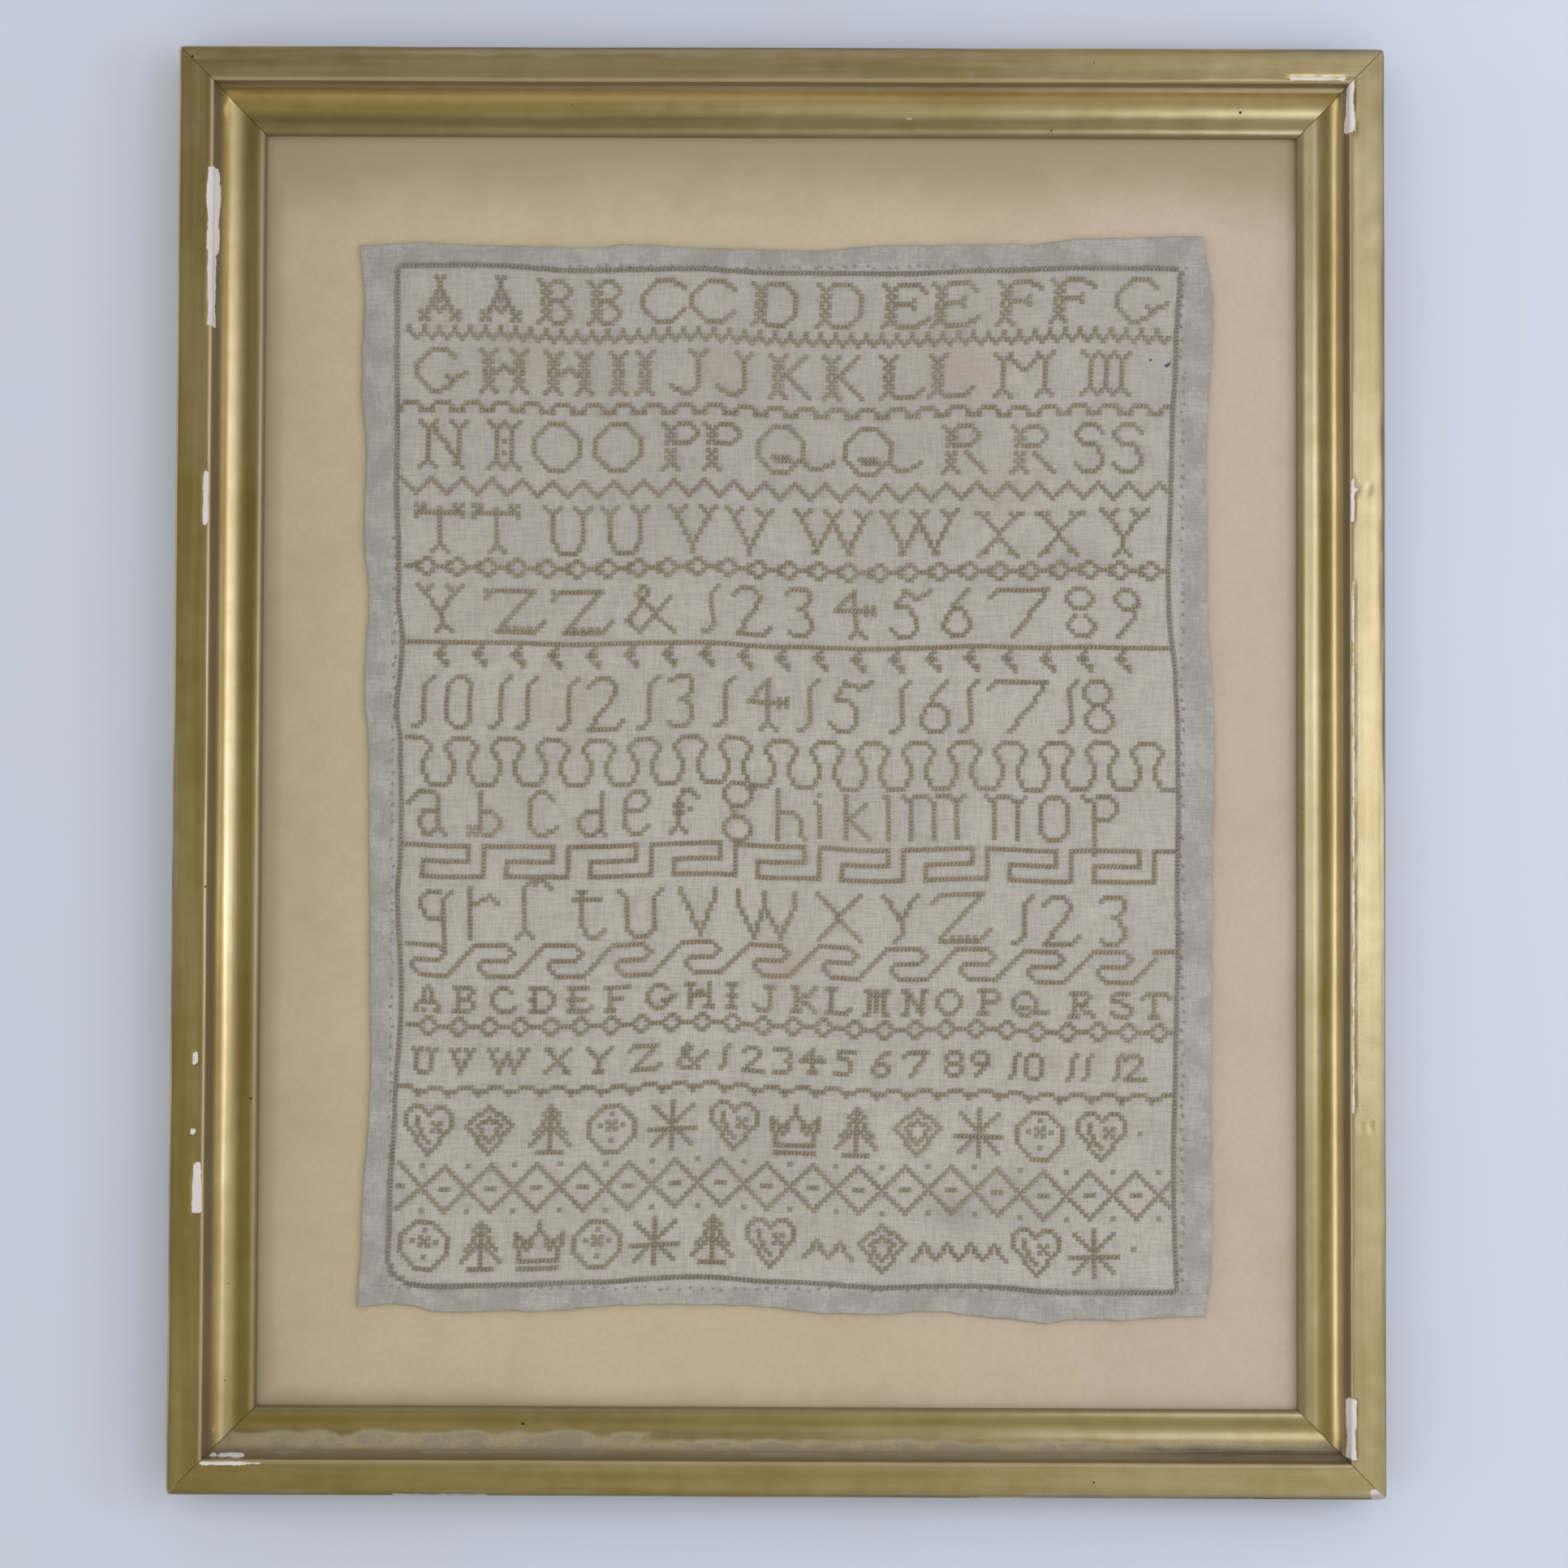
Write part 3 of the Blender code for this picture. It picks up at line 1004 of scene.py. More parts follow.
def closed_sheet(x: np.ndarray, y: np.ndarray, face: np.ndarray, back: np.ndarray) -> tuple:
    """Join a grid's face and back round their rim.

    Args:
        x, y: the grid's places.
        face, back: the heights of both sides.

    Returns:
        The points and the faces of a closed form.
    """
    rows, columns = x.shape
    count = rows * columns
    number = np.arange(count).reshape(rows, columns)
    rim = np.concatenate((number[0, :-1], number[:-1, -1], number[-1, :0:-1], number[:0:-1, 0]))
    following = np.roll(rim, -1)
    front = grid_faces(rows, columns)
    sides = np.stack((rim, rim + count, following + count, following), axis=-1)
    faces = np.concatenate((front, front[:, ::-1] + count, sides))
    points = np.concatenate((np.stack((x, y, face), -1), np.stack((x, y, back), -1))).reshape(-1, 3)
    return points, faces.tolist()


# --- the linen ---------------------------------------------------------------


@dataclass
class Cloth:
    """The lie of the linen: its edges, hem, cockles and the grid of its stitches.

    The edge tables give (share along, millimetres out), from left to right or
    from bottom to top. The line tables give (millimetres across or up, drift).
    """

    lie: float
    left: float = -131.5 * MM
    right: float = 137.0 * MM
    bottom: float = -172.0 * MM
    top: float = 167.6 * MM
    thickness: float = 0.7 * MM
    hem_thickness: float = 1.25 * MM
    hem_side: float = 9.0 * MM
    hem_end: float = 7.5 * MM
    pitch: float = 1.2145 * MM
    first_column: float = -122.0 * MM
    first_row: float = 160.2 * MM
    stitch_columns: int = 205
    stitch_rows: int = 267
    top_edge: tuple = (
        (0.00, -0.6), (0.07, 0.3), (0.15, -0.5), (0.28, -1.1), (0.32, 0.0), (0.43, -1.2),
        (0.52, -1.9), (0.65, 0.1), (0.79, 0.4), (0.86, 2.3), (1.00, 3.2),
    )
    bottom_edge: tuple = (
        (0.00, -0.8), (0.04, -2.1), (0.11, 0.6), (0.20, 0.2), (0.35, -2.2), (0.46, -1.9),
        (0.56, 0.5), (0.62, 0.8), (0.67, -0.3), (0.77, 2.0), (0.81, 3.4), (0.84, 2.1),
        (0.90, 2.5), (0.95, 1.2), (1.00, 1.1),
    )
    left_edge: tuple = (
        (0.00, 1.3), (0.06, 0.4), (0.22, -2.3), (0.36, -1.6), (0.52, -0.9), (0.58, 0.8),
        (0.66, -0.6), (0.73, 1.1), (0.80, 0.6), (0.87, 2.2), (0.95, 1.6), (1.00, 2.9),
    )
    right_edge: tuple = (
        (0.00, -1.2), (0.05, 0.8), (0.22, 0.5), (0.40, 0.9), (0.53, 1.7), (0.66, -0.7),
        (0.80, -1.0), (0.93, 1.3), (1.00, -1.6),
    )
    left_drift: tuple = (
        (-164, -2.4), (-156, -2.0), (-145, -1.4), (-110, -0.3), (-75, 1.7), (-40, 0.4), (-29, 1.1),
        (6, 1.1), (18, -0.3), (41, 1.6), (53, 0.0), (100, -0.6), (160, -1.1),
    )
    right_drift: tuple = (
        (-164, 0.2), (-135, -0.7), (-100, -0.4), (-65, 0.6), (-19, 0.6), (16, 0.6), (28, -0.2),
        (51, -2.3), (63, -2.6), (110, -1.3), (133, -0.2), (160, 1.2),
    )
    top_drift: tuple = (
        (-122, 1.0), (-98, 1.0), (-63, -0.4), (-28, 0.2), (7, -1.2), (31, -1.4), (66, -0.2),
        (101, 0.9), (127, 0.4),
    )
    bottom_drift: tuple = (
        (-122, 0.6), (-105, -0.8), (-81, -0.2), (-58, 0.4), (-23, 2.3), (0, 0.9), (34, -0.5),
        (58, -0.2), (92, -2.1), (127, -2.0),
    )
    cockles: tuple = (
        # centre x, centre y, reach along x, reach along y, rise: millimetres
        (-78.0, 118.0, 46.0, 20.0, 0.5),
        (62.0, 134.0, 52.0, 15.0, 0.6),
        (92.0, 24.0, 24.0, 62.0, 0.6),
        (-96.0, -22.0, 18.0, 70.0, 0.4),
        (20.0, -52.0, 60.0, 22.0, 0.5),
        (74.0, -136.0, 40.0, 18.0, 0.7),
        (-58.0, -140.0, 44.0, 16.0, 0.5),
    )

    def edge_place(self, across: np.ndarray, up: np.ndarray) -> tuple:
        """The place on the sheet for shares 0 to 1 across and up it."""
        left = self.left - eased(self.left_edge, up) * MM
        right = self.right + eased(self.right_edge, up) * MM
        bottom = self.bottom - eased(self.bottom_edge, across) * MM
        top = self.top + eased(self.top_edge, across) * MM
        return left + (right - left) * across, bottom + (top - bottom) * up

    def chart_place(self, column: np.ndarray, row: np.ndarray) -> tuple:
        """The place of a stitch, counted from the border's top left corner.

        Args:
            column: stitches to the right.
            row: stitches down.

        Returns:
            x and y, in metres.
        """
        across, down = column / self.stitch_columns, row / self.stitch_rows
        x = self.first_column + column * self.pitch
        y = self.first_row - row * self.pitch
        left, right = eased(self.left_drift, y / MM), eased(self.right_drift, y / MM)
        top, bottom = eased(self.top_drift, x / MM), eased(self.bottom_drift, x / MM)
        drift_x = (1 - across) * left + across * right
        drift_y = (1 - down) * top + down * bottom
        x = x + drift_x * MM + ripple(x, y, 17 * MM, 71) * 0.22 * MM
        y = y + drift_y * MM + ripple(x, y, 21 * MM, 72) * 0.25 * MM
        return x, y

    def hem_share(self, x: np.ndarray, y: np.ndarray) -> np.ndarray:
        """1 on the hem and 0 on the single cloth, with a soft step between."""
        inside = np.minimum(
            np.minimum(x - self.left, self.right - x) - self.hem_side,
            np.minimum(y - self.bottom, self.top - y) - self.hem_end,
        )
        wander = ripple(x, y, 24 * MM, 73) * 0.5 * MM
        return 1 - soft_step(inside + wander, -0.9 * MM, 0.9 * MM)

    def underside(self, x: np.ndarray, y: np.ndarray) -> np.ndarray:
        """The height of the cloth's back, with its cockles."""
        lift = np.zeros(np.broadcast(x, y).shape)
        for centre_x, centre_y, reach_x, reach_y, rise in self.cockles:
            away = ((x / MM - centre_x) / reach_x) ** 2 + ((y / MM - centre_y) / reach_y) ** 2
            lift += rise * MM * np.exp(-away)
        return self.lie + lift

    def surface(self, x: np.ndarray, y: np.ndarray) -> np.ndarray:
        """The height of the cloth's face."""
        hem = self.hem_share(x, y)
        thick = self.thickness + (self.hem_thickness - self.thickness) * hem
        pucker = ripple(x, y, 5.5 * MM, 74) * 0.07 + ripple(x, y, 13 * MM, 75) * 0.10
        hem_pucker = ripple(x, y, 3.2 * MM, 76) * 0.08 * hem
        return self.underside(x, y) + thick + (pucker + hem_pucker) * MM


STAINS_AND_SHADE = (
    # x, y, reach along x, reach along y: millimetres; strength
    (93, 67, 11, 7, 0.62), (84, 61, 14, 9, 0.25), (58, -140, 11, 6, 0.62), (70, -137, 16, 8, 0.3),
    (82, 141, 18, 8, 0.32), (108, 122, 11, 15, 0.38), (64, 150, 20, 7, 0.22), (-20, -126, 22, 9, 0.22),
    (28, 57, 8, 10, 0.3), (-8, -120, 12, 10, 0.2), (118, -60, 10, 40, 0.15), (60, 118, 30, 12, 0.16),
    # (0, 130) is no stain but painted shade: the upper field darker towards the top moulding
    (0, 130, 190, 80, 0.30), (-120, 158, 12, 10, 0.22),
)
RUST = (
    (3, -62, 6, 4, 0.35), (60, 128, 14, 6, 0.28), (-78, 132, 7, 9, 0.22), (-70, 20, 9, 8, 0.22),
    (20, -24, 10, 6, 0.16), (96, -90, 12, 14, 0.16), (74, 88, 12, 9, 0.18), (-20, 126, 9, 5, 0.2),
)
INK = (
    # x, y, radius: millimetres
    (123.4, 129.2, 0.95), (126.4, 130.2, 0.9), (118.0, 131.0, 0.55), (-50, -167.5, 0.8),
    (16, -166.0, 0.7),
)


@dataclass
class Linen:
    """The hemmed linen sheet, cut and hemmed by hand."""

    cloth: Cloth
    columns: int = 150
    rows: int = 190
    fold: float = 0.55 * MM
    rim_lines: tuple = (0.0, 0.10, 0.35, 0.75, 1.4)
    edge_ripple: float = 3.5 * MM
    # the stitched field's left, right, bottom and top: millimetres
    stitched: tuple = (-122, 127, -164, 160)

    def shares(self, length: float, count: int) -> np.ndarray:
        """Grid lines along one way, with close ones at the folded edges."""
        rim = np.array(self.rim_lines) * MM / length
        inner = np.linspace(rim[-1], 1 - rim[-1], count)
        return np.concatenate((rim[:-1], inner, (1 - rim[:-1])[::-1]))

    def build(self) -> bpy.types.Object:
        """Model the sheet as one closed form.

        Returns:
            The piece, painted for its finish.
        """
        cloth = self.cloth
        wide, tall = cloth.right - cloth.left, cloth.top - cloth.bottom
        across, up = np.meshgrid(self.shares(wide, self.columns), self.shares(tall, self.rows))
        x, y = cloth.edge_place(across, up)
        near = np.minimum(np.minimum(across, 1 - across) * wide, np.minimum(up, 1 - up) * tall)
        ragged = 1 - soft_step(near, 0, 4 * MM)
        x = x + ripple(x, y, self.edge_ripple, 81) * 0.22 * MM * ragged
        y = y + ripple(x, y, self.edge_ripple, 82) * 0.22 * MM * ragged
        under = cloth.underside(x, y)
        full = cloth.surface(x, y) - under
        turned = np.sqrt(np.clip(1 - (1 - np.clip(near / self.fold, 0, 1)) ** 2, 0, 1))
        face = under + full * (0.42 + 0.58 * turned)
        back = under + full * 0.36 * (1 - turned)
        points, faces = closed_sheet(x, y, face, back)
        piece = make_piece("linen_sheet", points, faces, sharp_deg=80)
        self.stain_and_shade(piece, points[:, 0] / MM, points[:, 1] / MM)
        return piece

    def stain_and_shade(self, piece: bpy.types.Object, x: np.ndarray, y: np.ndarray) -> None:
        """Paint the hem, the margin, the stains and the painted shade over the upper field; x and y are in
        millimetres.
        """
        cloth = self.cloth
        hem = cloth.hem_share(x * MM, y * MM)
        left, right, bottom, top = self.stitched
        inside = np.minimum(np.minimum(x - left, right - x), np.minimum(top - y, y - bottom))
        paint(piece, "hem", hem)
        paint(piece, "margin", 1 - 0.85 * soft_step(inside, -2.0, 7.0))
        for name, blots in (("stain_and_shade", STAINS_AND_SHADE), ("rust", RUST)):
            amount = np.zeros_like(x)
            for centre_x, centre_y, reach_x, reach_y, strength in blots:
                away = ((x - centre_x) / reach_x) ** 2 + ((y - centre_y) / reach_y) ** 2
                amount = np.maximum(amount, strength * np.exp(-away))
            paint(piece, name, amount)
        reach = np.full_like(x, -3.0)
        for centre_x, centre_y, radius in INK:
            reach = np.maximum(reach, radius - np.hypot(x - centre_x, y - centre_y))
        paint(piece, "ink", reach)

    def make(self) -> bpy.types.Object:
        """Build and dress the sheet.

        Returns:
            The piece.
        """
        piece = self.build()
        piece.data.materials.append(LinenFinish("linen").material())
        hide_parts("sampler_linen")
        report(piece)
        return piece


# --- the embroidery ----------------------------------------------------------

# Letters and figures as pen paths on the stitch grid, x,y from the left foot,
# each path of joined points and paths parted by bars. In front of a point,
# ^ is a fork opening upwards, v one opening downwards, * a small cross and
# . a single stitch. Capitals, small letters and figures are 12 stitches high,
# many of them on a chain of crosses or a plain post.
CHAIN = "^2,9 | v2,2 | *2,4 | *2,7"
POST = "2,2 2,9 | ^2,9 | v2,2"
TALL = {
    "A": "1,1 2,3 4,6 5,8 6,6 8,3 9,1 | 4,6 5,5 6,6 | 3,4 5,2 7,4 | 5,8 5,10 | .4,11 | .6,11 | *1,1 | *9,1",
    "B": CHAIN + " | 4,11 6,11 8,9 8,8 6,6 4,6 | 6,5 8,3 8,2 6,0 4,0",
    "C": "11,9 8,11 4,11 1,8 0,6 0,5 1,3 4,0 7,0 9,1 11,3",
    "D": CHAIN + " | 5,11 8,11 11,8 11,3 8,0 5,0",
    "E": CHAIN + " | 5,11 9,11 11,9 | 4,6 7,6 | .8,7 | .8,5 | 5,0 9,0 12,2",
    "F": CHAIN + " | 5,11 8,11 11,9 | 4,6 7,6 | .8,7 | .8,5",
    "G": "10,9 8,11 4,11 1,8 0,6 0,5 1,3 4,0 6,0 9,2 13,5 | 8,4 9,3",
    "H": CHAIN + " | ^10,9 | v10,2 | *10,4 | *10,7 | 4,5 6,7 8,5",
    "I": CHAIN,
    "J": "7,9 7,2 5,0 3,0 0,2 | ^7,9",
    "K": CHAIN + " | 4,6 9,11 | 5,5 10,0",
    "L": CHAIN + " | 5,0 9,0 11,2",
    "M": POST + " | 4,10 7,7 8,7 11,10 | 13,2 13,9 | ^13,9 | v13,2",
    "m": POST + " | 6,2 6,9 | ^6,9 | v6,2 | 10,2 10,9 | ^10,9 | v10,2",
    "N": POST + " | 3,10 11,0 | 10,2 10,9 | ^10,9 | .9,1",
    "n": POST + " | 6,2 6,9 | ^6,9 | v6,2 | .4,6 | .4,4",
    "O": "4,11 8,11 12,7 12,4 8,0 4,0 0,4 0,7 4,11",
    "P": CHAIN + " | 5,11 7,11 9,9 9,8 7,6 4,6",
    "Q": "4,11 8,11 12,7 12,4 8,0 4,0 0,4 0,7 4,11 | 4,4 8,4 | 5,3 9,3 | 12,3 14,1 17,1 20,3",
    "R": CHAIN + " | 5,11 7,11 9,9 9,8 7,6 4,6 | 6,5 11,0",
    "S": "7,9 5,11 2,11 0,9 0,8 2,6 5,6 7,4 7,2 5,0 2,0 0,2",
    "T": "6,2 6,9 | 0,8 2,10 4,9 8,9 10,10 12,8 | *1,10 | *11,10 | v6,2 | .6,10",
    "U": "2,9 2,3 4,0 8,0 10,3 10,9 | ^2,9 | ^10,9",
    "V": "2,9 6,1 10,9 | ^2,9 | ^10,9 | .6,0",
    "W": "2,9 6,1 10,9 14,1 18,9 | ^2,9 | ^10,9 | ^18,9 | .5,1 | .15,1",
    "X": "1,10 11,0 | 11,10 1,0 | .0,10 | .3,10 | .9,10 | .12,10 | .3,1 | .9,1",
    "Y": "2,9 6,5 10,9 | 6,5 6,2 | ^2,9 | ^10,9 | v6,2",
    "Z": "0,8 2,10 13,10 3,1 | 2,0 12,0 15,3 | .0,10 | .5,1 | .7,1 | .9,1 | .11,1",
    "&": "5,7 3,9 4,11 6,10 6,9 1,4 1,2 3,0 6,3 12,8 | 5,7 12,0 | .0,3",
    "1": "5,11 4,10 3,9 3,2 2,1 0,0",
    "2": "0,9 2,11 5,11 7,9 7,8 1,1 | 0,0 7,0 9,2",
    "3": "0,10 2,11 5,11 6,9 6,8 4,6 6,4 6,2 4,0 2,0 0,1 | .3,6",
    "4": "5,11 5,2 | 0,6 10,6 | 4,10 1,7 | *9,6 | v5,2",
    "5": "11,11 8,9 4,11 3,9 2,7 5,7 7,5 7,2 5,0 2,0 0,2",
    "6": "8,11 6,9 2,5 1,3 1,2 3,0 6,0 8,2 8,4 6,6 4,6",
    "7": "0,9 2,11 15,11 14,9 5,0",
    "8": "2,11 5,11 7,9 7,8 5,6 2,6 0,8 0,9 2,11 | 2,5 0,3 0,2 2,0 5,0 7,2 7,3 5,5",
    "9": "3,11 5,11 7,9 7,8 5,6 3,6 1,8 1,9 3,11 | 7,8 6,5 1,0",
    "0": "2,11 4,11 6,9 6,2 4,0 2,0 0,2 0,9 2,11",
    "a-": "0,8 3,11 7,11 8,9 8,2 10,0 | 8,6 4,6 3,4 3,2 4,0 6,0 8,2",
    "b-": "3,11 3,1 | 3,6 6,6 8,4 8,2 6,0 4,0 | *1,1",
    "c-": "7,9 5,11 3,11 1,9 1,2 3,0 5,0 8,2",
    "d-": "7,11 7,1 8,0 | 6,6 3,6 1,4 1,2 3,0 5,0 7,2",
    "e-": "1,6 5,6 7,8 6,11 3,11 1,9 1,2 3,0 5,0 7,2",
    "f-": "8,9 6,11 4,11 3,9 3,2 | *3,6 | v3,2 | .6,6",
    "g-": (
        "3,13 6,13 8,11 8,9 6,7 3,7 1,9 1,11 3,13 | 3,6 4,5"
        " | 3,4 6,4 8,2 8,0 6,-2 3,-2 1,0 1,2 3,4 | 8,12 10,13"
    ),
    "h-": "1,12 1,-1 | 2,6 5,6 7,4 7,0 8,-1",
    "i-": ".1,11 | 1,8 1,0 | .0,9",
    "k-": "1,11 1,0 | 6,9 2,5 7,0",
    "l-": "1,11 1,0 | .0,11",
    "m-": "0,11 2,10 2,0 | 3,11 6,11 8,9 8,0 | 9,11 12,11 14,9 14,0 | 14,10 16,11",
    "n-": "0,11 2,10 2,0 | 3,11 6,11 8,9 8,0 | 8,10 10,11",
    "o-": "2,11 5,11 7,9 7,2 5,0 2,0 0,2 0,9 2,11",
    "p-": "0,11 3,9 3,-4 | 4,11 7,11 9,9 9,7 7,5 4,5",
    "q-": "9,11 7,9 7,-3 | 6,11 3,11 1,9 1,7 3,5 6,5",
    "r-": "1,12 1,0 | 1,7 4,9 6,10 8,8",
    "s-": "11,12 9,14 6,14 4,12 4,2 | v4,2 | .7,13",
    "t-": "2,11 2,3 4,0 6,0 8,2 | 0,9 7,9 | *2,10",
    "u-": "0,11 2,9 2,2 4,0 7,0 9,2 9,9 11,11",
    "v-": "0,11 1,9 5,0 9,9 9,11 | .5,1",
    "w-": "1,11 1,8 5,0 8,8 8,11 | 8,8 12,0 16,8 16,11",
    "x-": "1,11 12,0 | 12,11 1,0",
    "y-": "0,11 2,9 3,7 5,5 | 9,11 7,9 5,5 5,2 3,0",
    "z-": "0,9 2,11 13,11 2,1 | 2,0 12,0 15,3 | .5,1 | .7,1 | .9,1 | .11,1",
    "heart": "6,0 0,6 0,9 2,11 4,11 6,9 8,11 10,11 12,9 12,6 6,0 | 6,3 3,6 3,8 | *8,6",
    "tree": "6,0 6,11 | 1,2 6,6 11,2 | 2,5 6,9 10,5 | 4,9 6,11 8,9 | 3,0 9,0",
    "diamond": "6,0 12,6 6,11 0,6 6,0 | 6,3 9,6 6,8 3,6 6,3",
    "star": "1,1 11,10 | 11,1 1,10 | 6,0 6,11 | 0,5 12,5 | .5,5 | .7,6",
    "crown": "1,0 11,0 | 1,2 11,2 | 1,3 0,8 3,5 6,10 9,5 12,8 11,3 | .3,6 | .9,6 | .6,11",
    "rosette": "4,11 8,11 12,7 12,4 8,0 4,0 0,4 0,7 4,11 | *6,6 | .6,3 | .6,9 | .3,6 | .9,6",
    "wave": "0,3 3,6 6,3 9,6 12,3",
    ".": ".1,6",
}
# The smaller capitals and figures, seven stitches high.
SMALL = {
    "A": "0,0 3,6 6,0 | 2,2 4,2 | .2,0 | .5,0",
    "B": "1,0 1,6 4,6 5,5 4,3 1,3 | 4,3 5,2 5,1 4,0 1,0 | .0,6 | .0,0",
    "C": "5,5 4,6 2,6 0,4 0,2 2,0 4,0 6,1", "D": "1,0 1,6 4,6 6,4 6,2 4,0 1,0 | .0,6 | .0,3 | .0,0",
    "E": "1,0 1,6 5,6 | 1,3 4,3 | 1,0 5,0 6,1 | .0,6 | .0,3 | .0,0",
    "F": "1,0 1,6 6,6 | 1,3 4,3 | .0,6 | .0,0 | .2,0", "G": "5,5 4,6 2,6 0,4 0,2 2,0 4,0 6,2 | 4,2 7,3",
    "H": "1,0 1,6 | 6,0 6,6 | 1,3 6,3 | .0,6 | .2,6 | .5,0 | .7,0 | .3,4 | .4,4",
    "I": "1,0 1,6 | .0,6 | .2,6 | .0,0 | .2,0 | .0,3 | .2,3", "J": "4,6 4,1 3,0 1,0 0,1 | .3,6 | .5,6",
    "K": "1,0 1,6 | 6,6 2,3 6,0 | .0,6 | .0,0 | .2,0", "L": "1,0 1,6 | 2,0 5,0 6,1 | .0,6 | .2,6 | .0,0",
    "M": "1,0 1,6 | 2,5 3,4 4,5 | 5,6 5,0 | 3,1 3,6 | .0,6 | .6,6 | .0,0 | .6,0",
    "N": "1,0 1,6 5,0 5,6 | .0,6 | .6,6 | .0,0", "O": "2,0 4,0 6,2 6,4 4,6 2,6 0,4 0,2 2,0",
    "P": "1,0 1,6 4,6 5,5 5,4 4,3 1,3 | .0,6 | .0,0 | .2,0",
    "Q": "2,0 4,0 6,2 6,4 4,6 2,6 0,4 0,2 2,0 | 2,2 4,2 | 6,1 9,1",
    "R": "1,0 1,6 4,6 5,5 4,3 1,3 | 3,2 6,0 | .0,6 | .0,0 | .2,0",
    "S": "4,6 1,6 0,5 0,4 4,3 5,2 5,1 4,0 1,0 0,1", "T": "0,5 1,6 6,6 7,5 | 3,6 3,0 | .2,0 | .4,0",
    "U": "0,6 1,5 1,1 2,0 4,0 5,1 5,5 6,6 | .2,6 | .4,6", "V": "0,6 1,5 3,0 5,5 6,6 | .2,6 | .4,6",
    "W": "0,6 1,5 3,0 5,5 7,0 9,5 10,6 | .2,6 | .8,6", "X": "0,6 6,0 | 6,6 0,0 | .1,6 | .5,0",
    "Y": "0,6 3,3 6,6 | 3,3 3,0 | .2,0 | .4,0", "Z": "0,5 1,6 7,6 1,0 7,0 8,1",
    "&": "5,0 1,4 1,5 2,6 3,5 0,2 0,1 1,0 3,0 7,4", "0": "1,6 3,6 4,5 4,1 3,0 1,0 0,1 0,5 1,6",
    "1": "3,6 2,5 2,1 1,0", "2": "0,5 1,6 3,6 4,5 4,4 0,0 5,0", "3": "0,6 3,6 4,5 3,3 4,2 4,1 3,0 0,0",
    "4": "3,6 3,0 | 0,3 6,3 | 2,5 1,4 | .5,4 | .2,0 | .4,0", "5": "5,6 1,6 1,4 3,4 4,3 4,1 3,0 0,0",
    "6": "4,6 2,5 0,2 1,0 3,0 4,2 3,3 1,3", "7": "0,5 1,6 6,6 2,0",
    "8": "1,6 3,6 4,5 3,3 1,3 0,5 1,6 | 1,3 0,1 1,0 3,0 4,1 3,3", "9": "3,3 1,3 0,5 1,6 3,6 4,5 4,3 1,0",
}


class Piece(Enum):
    """The joined meshes that the stitches go into."""

    BORDER = "stitched_border"
    CAPITALS = "stitched_capitals"
    FIGURES = "stitched_figures"
    LETTERS = "stitched_letters"
    UPPER_BANDS = "stitched_upper_bands"
    LOWER_BANDS = "stitched_lower_bands"


class Font(Enum):
    """The two alphabets, each by the row that its letters reach."""

    TALL = 11
    SMALL = 6


@dataclass(frozen=True)
class Line:
    """One row of letters: its foot row, height in stitches, and glyph@column words."""

    piece: Piece
    foot: int
    height: int
    words: str
    font: Font = Font.TALL


LINES = (
    Line(Piece.CAPITALS, 14, 12, "A@6 A@22 B@37 B@50 C@64 C@77 D@93 D@110 E@127 E@140 F@157 F@171 G@188"),
    Line(Piece.CAPITALS, 33, 12, "G@5 H@22 H@39 I@56 I@63 J@72 J@84 K@98 K@112 L@127 L@140 M@157 m@180"),
    Line(Piece.CAPITALS, 53, 13, "N@6 n@24 O@36 O@52 P@70 P@81 Q@95 Q@118 R@144 R@162 S@179 S@189"),
    Line(Piece.CAPITALS, 75, 13, "T@5 T@20 U@39 U@54 V@72 V@87 W@105 W@128 X@153 X@169 Y@186"),
    Line(Piece.FIGURES, 96, 13, "Y@5 Z@23 Z@41 &@60 1@80 2@89 3@103 4@116 5@130 6@143 7@157 8@177 9@189"),
    Line(
        Piece.FIGURES, 121, 14,
        "1@4 0@13 1@24 1@31 1@42 2@50 1@63 3@71 1@83 4@92 1@105 5@113 1@129 6@136 1@147 7@155 1@173 8@180",
    ),
    Line(
        Piece.LETTERS, 149, 12,
        "a-@2 b-@18 c-@33 d-@46 e-@58 f-@70 g-@84 h-@98 i-@109 k-@116 l-@127 m-@132 n-@154 o-@168 p-@179",
    ),
    Line(
        Piece.LETTERS, 176, 13,
        "q-@5 r-@18 s-@29 t-@46 u-@58 v-@74 w-@88 x-@109 y-@127 z-@140 1@161 2@169 3@184",
    ),
    Line(
        Piece.LETTERS, 195, 7,
        "A@4 B@14 C@24 D@34 E@44 F@54 G@65 H@75 I@86 J@93 K@103 L@112 M@122 N@132 O@141 P@152 Q@161"
        " R@176 S@187 T@195",
        Font.SMALL,
    ),
    Line(
        Piece.LETTERS, 211, 7,
        "U@4 V@14 W@24 X@39 Y@50 Z@61 &@74 1@84 2@91 3@99 4@106 5@115 6@125 7@133 8@144 9@151 1@160"
        " 0@165 1@175 1@179 1@187 2@191",
        Font.SMALL,
    ),
    Line(
        Piece.LETTERS, 232, 13,
        "heart@3 diamond@19 tree@35 rosette@51 star@67 heart@83 crown@99 tree@115 diamond@131 star@147"
        " rosette@163 heart@179 .@194",
    ),
    Line(
        Piece.LETTERS, 262, 13,
        "rosette@3 tree@18 crown@33 rosette@48 star@63 tree@78 heart@93 wave@108 diamond@122 wave@136"
        " wave@148 heart@162 star@177 .@192",
    ),
)


@dataclass(frozen=True)
class Band:
    """A patterned band: one repeat's pen paths, how long it is, and where it runs.

    Paths are as in the letters, but y counts down from the band's top row.
    """

    top: int
    repeat: int
    path: str
    start: int = 1
    end: int = 203


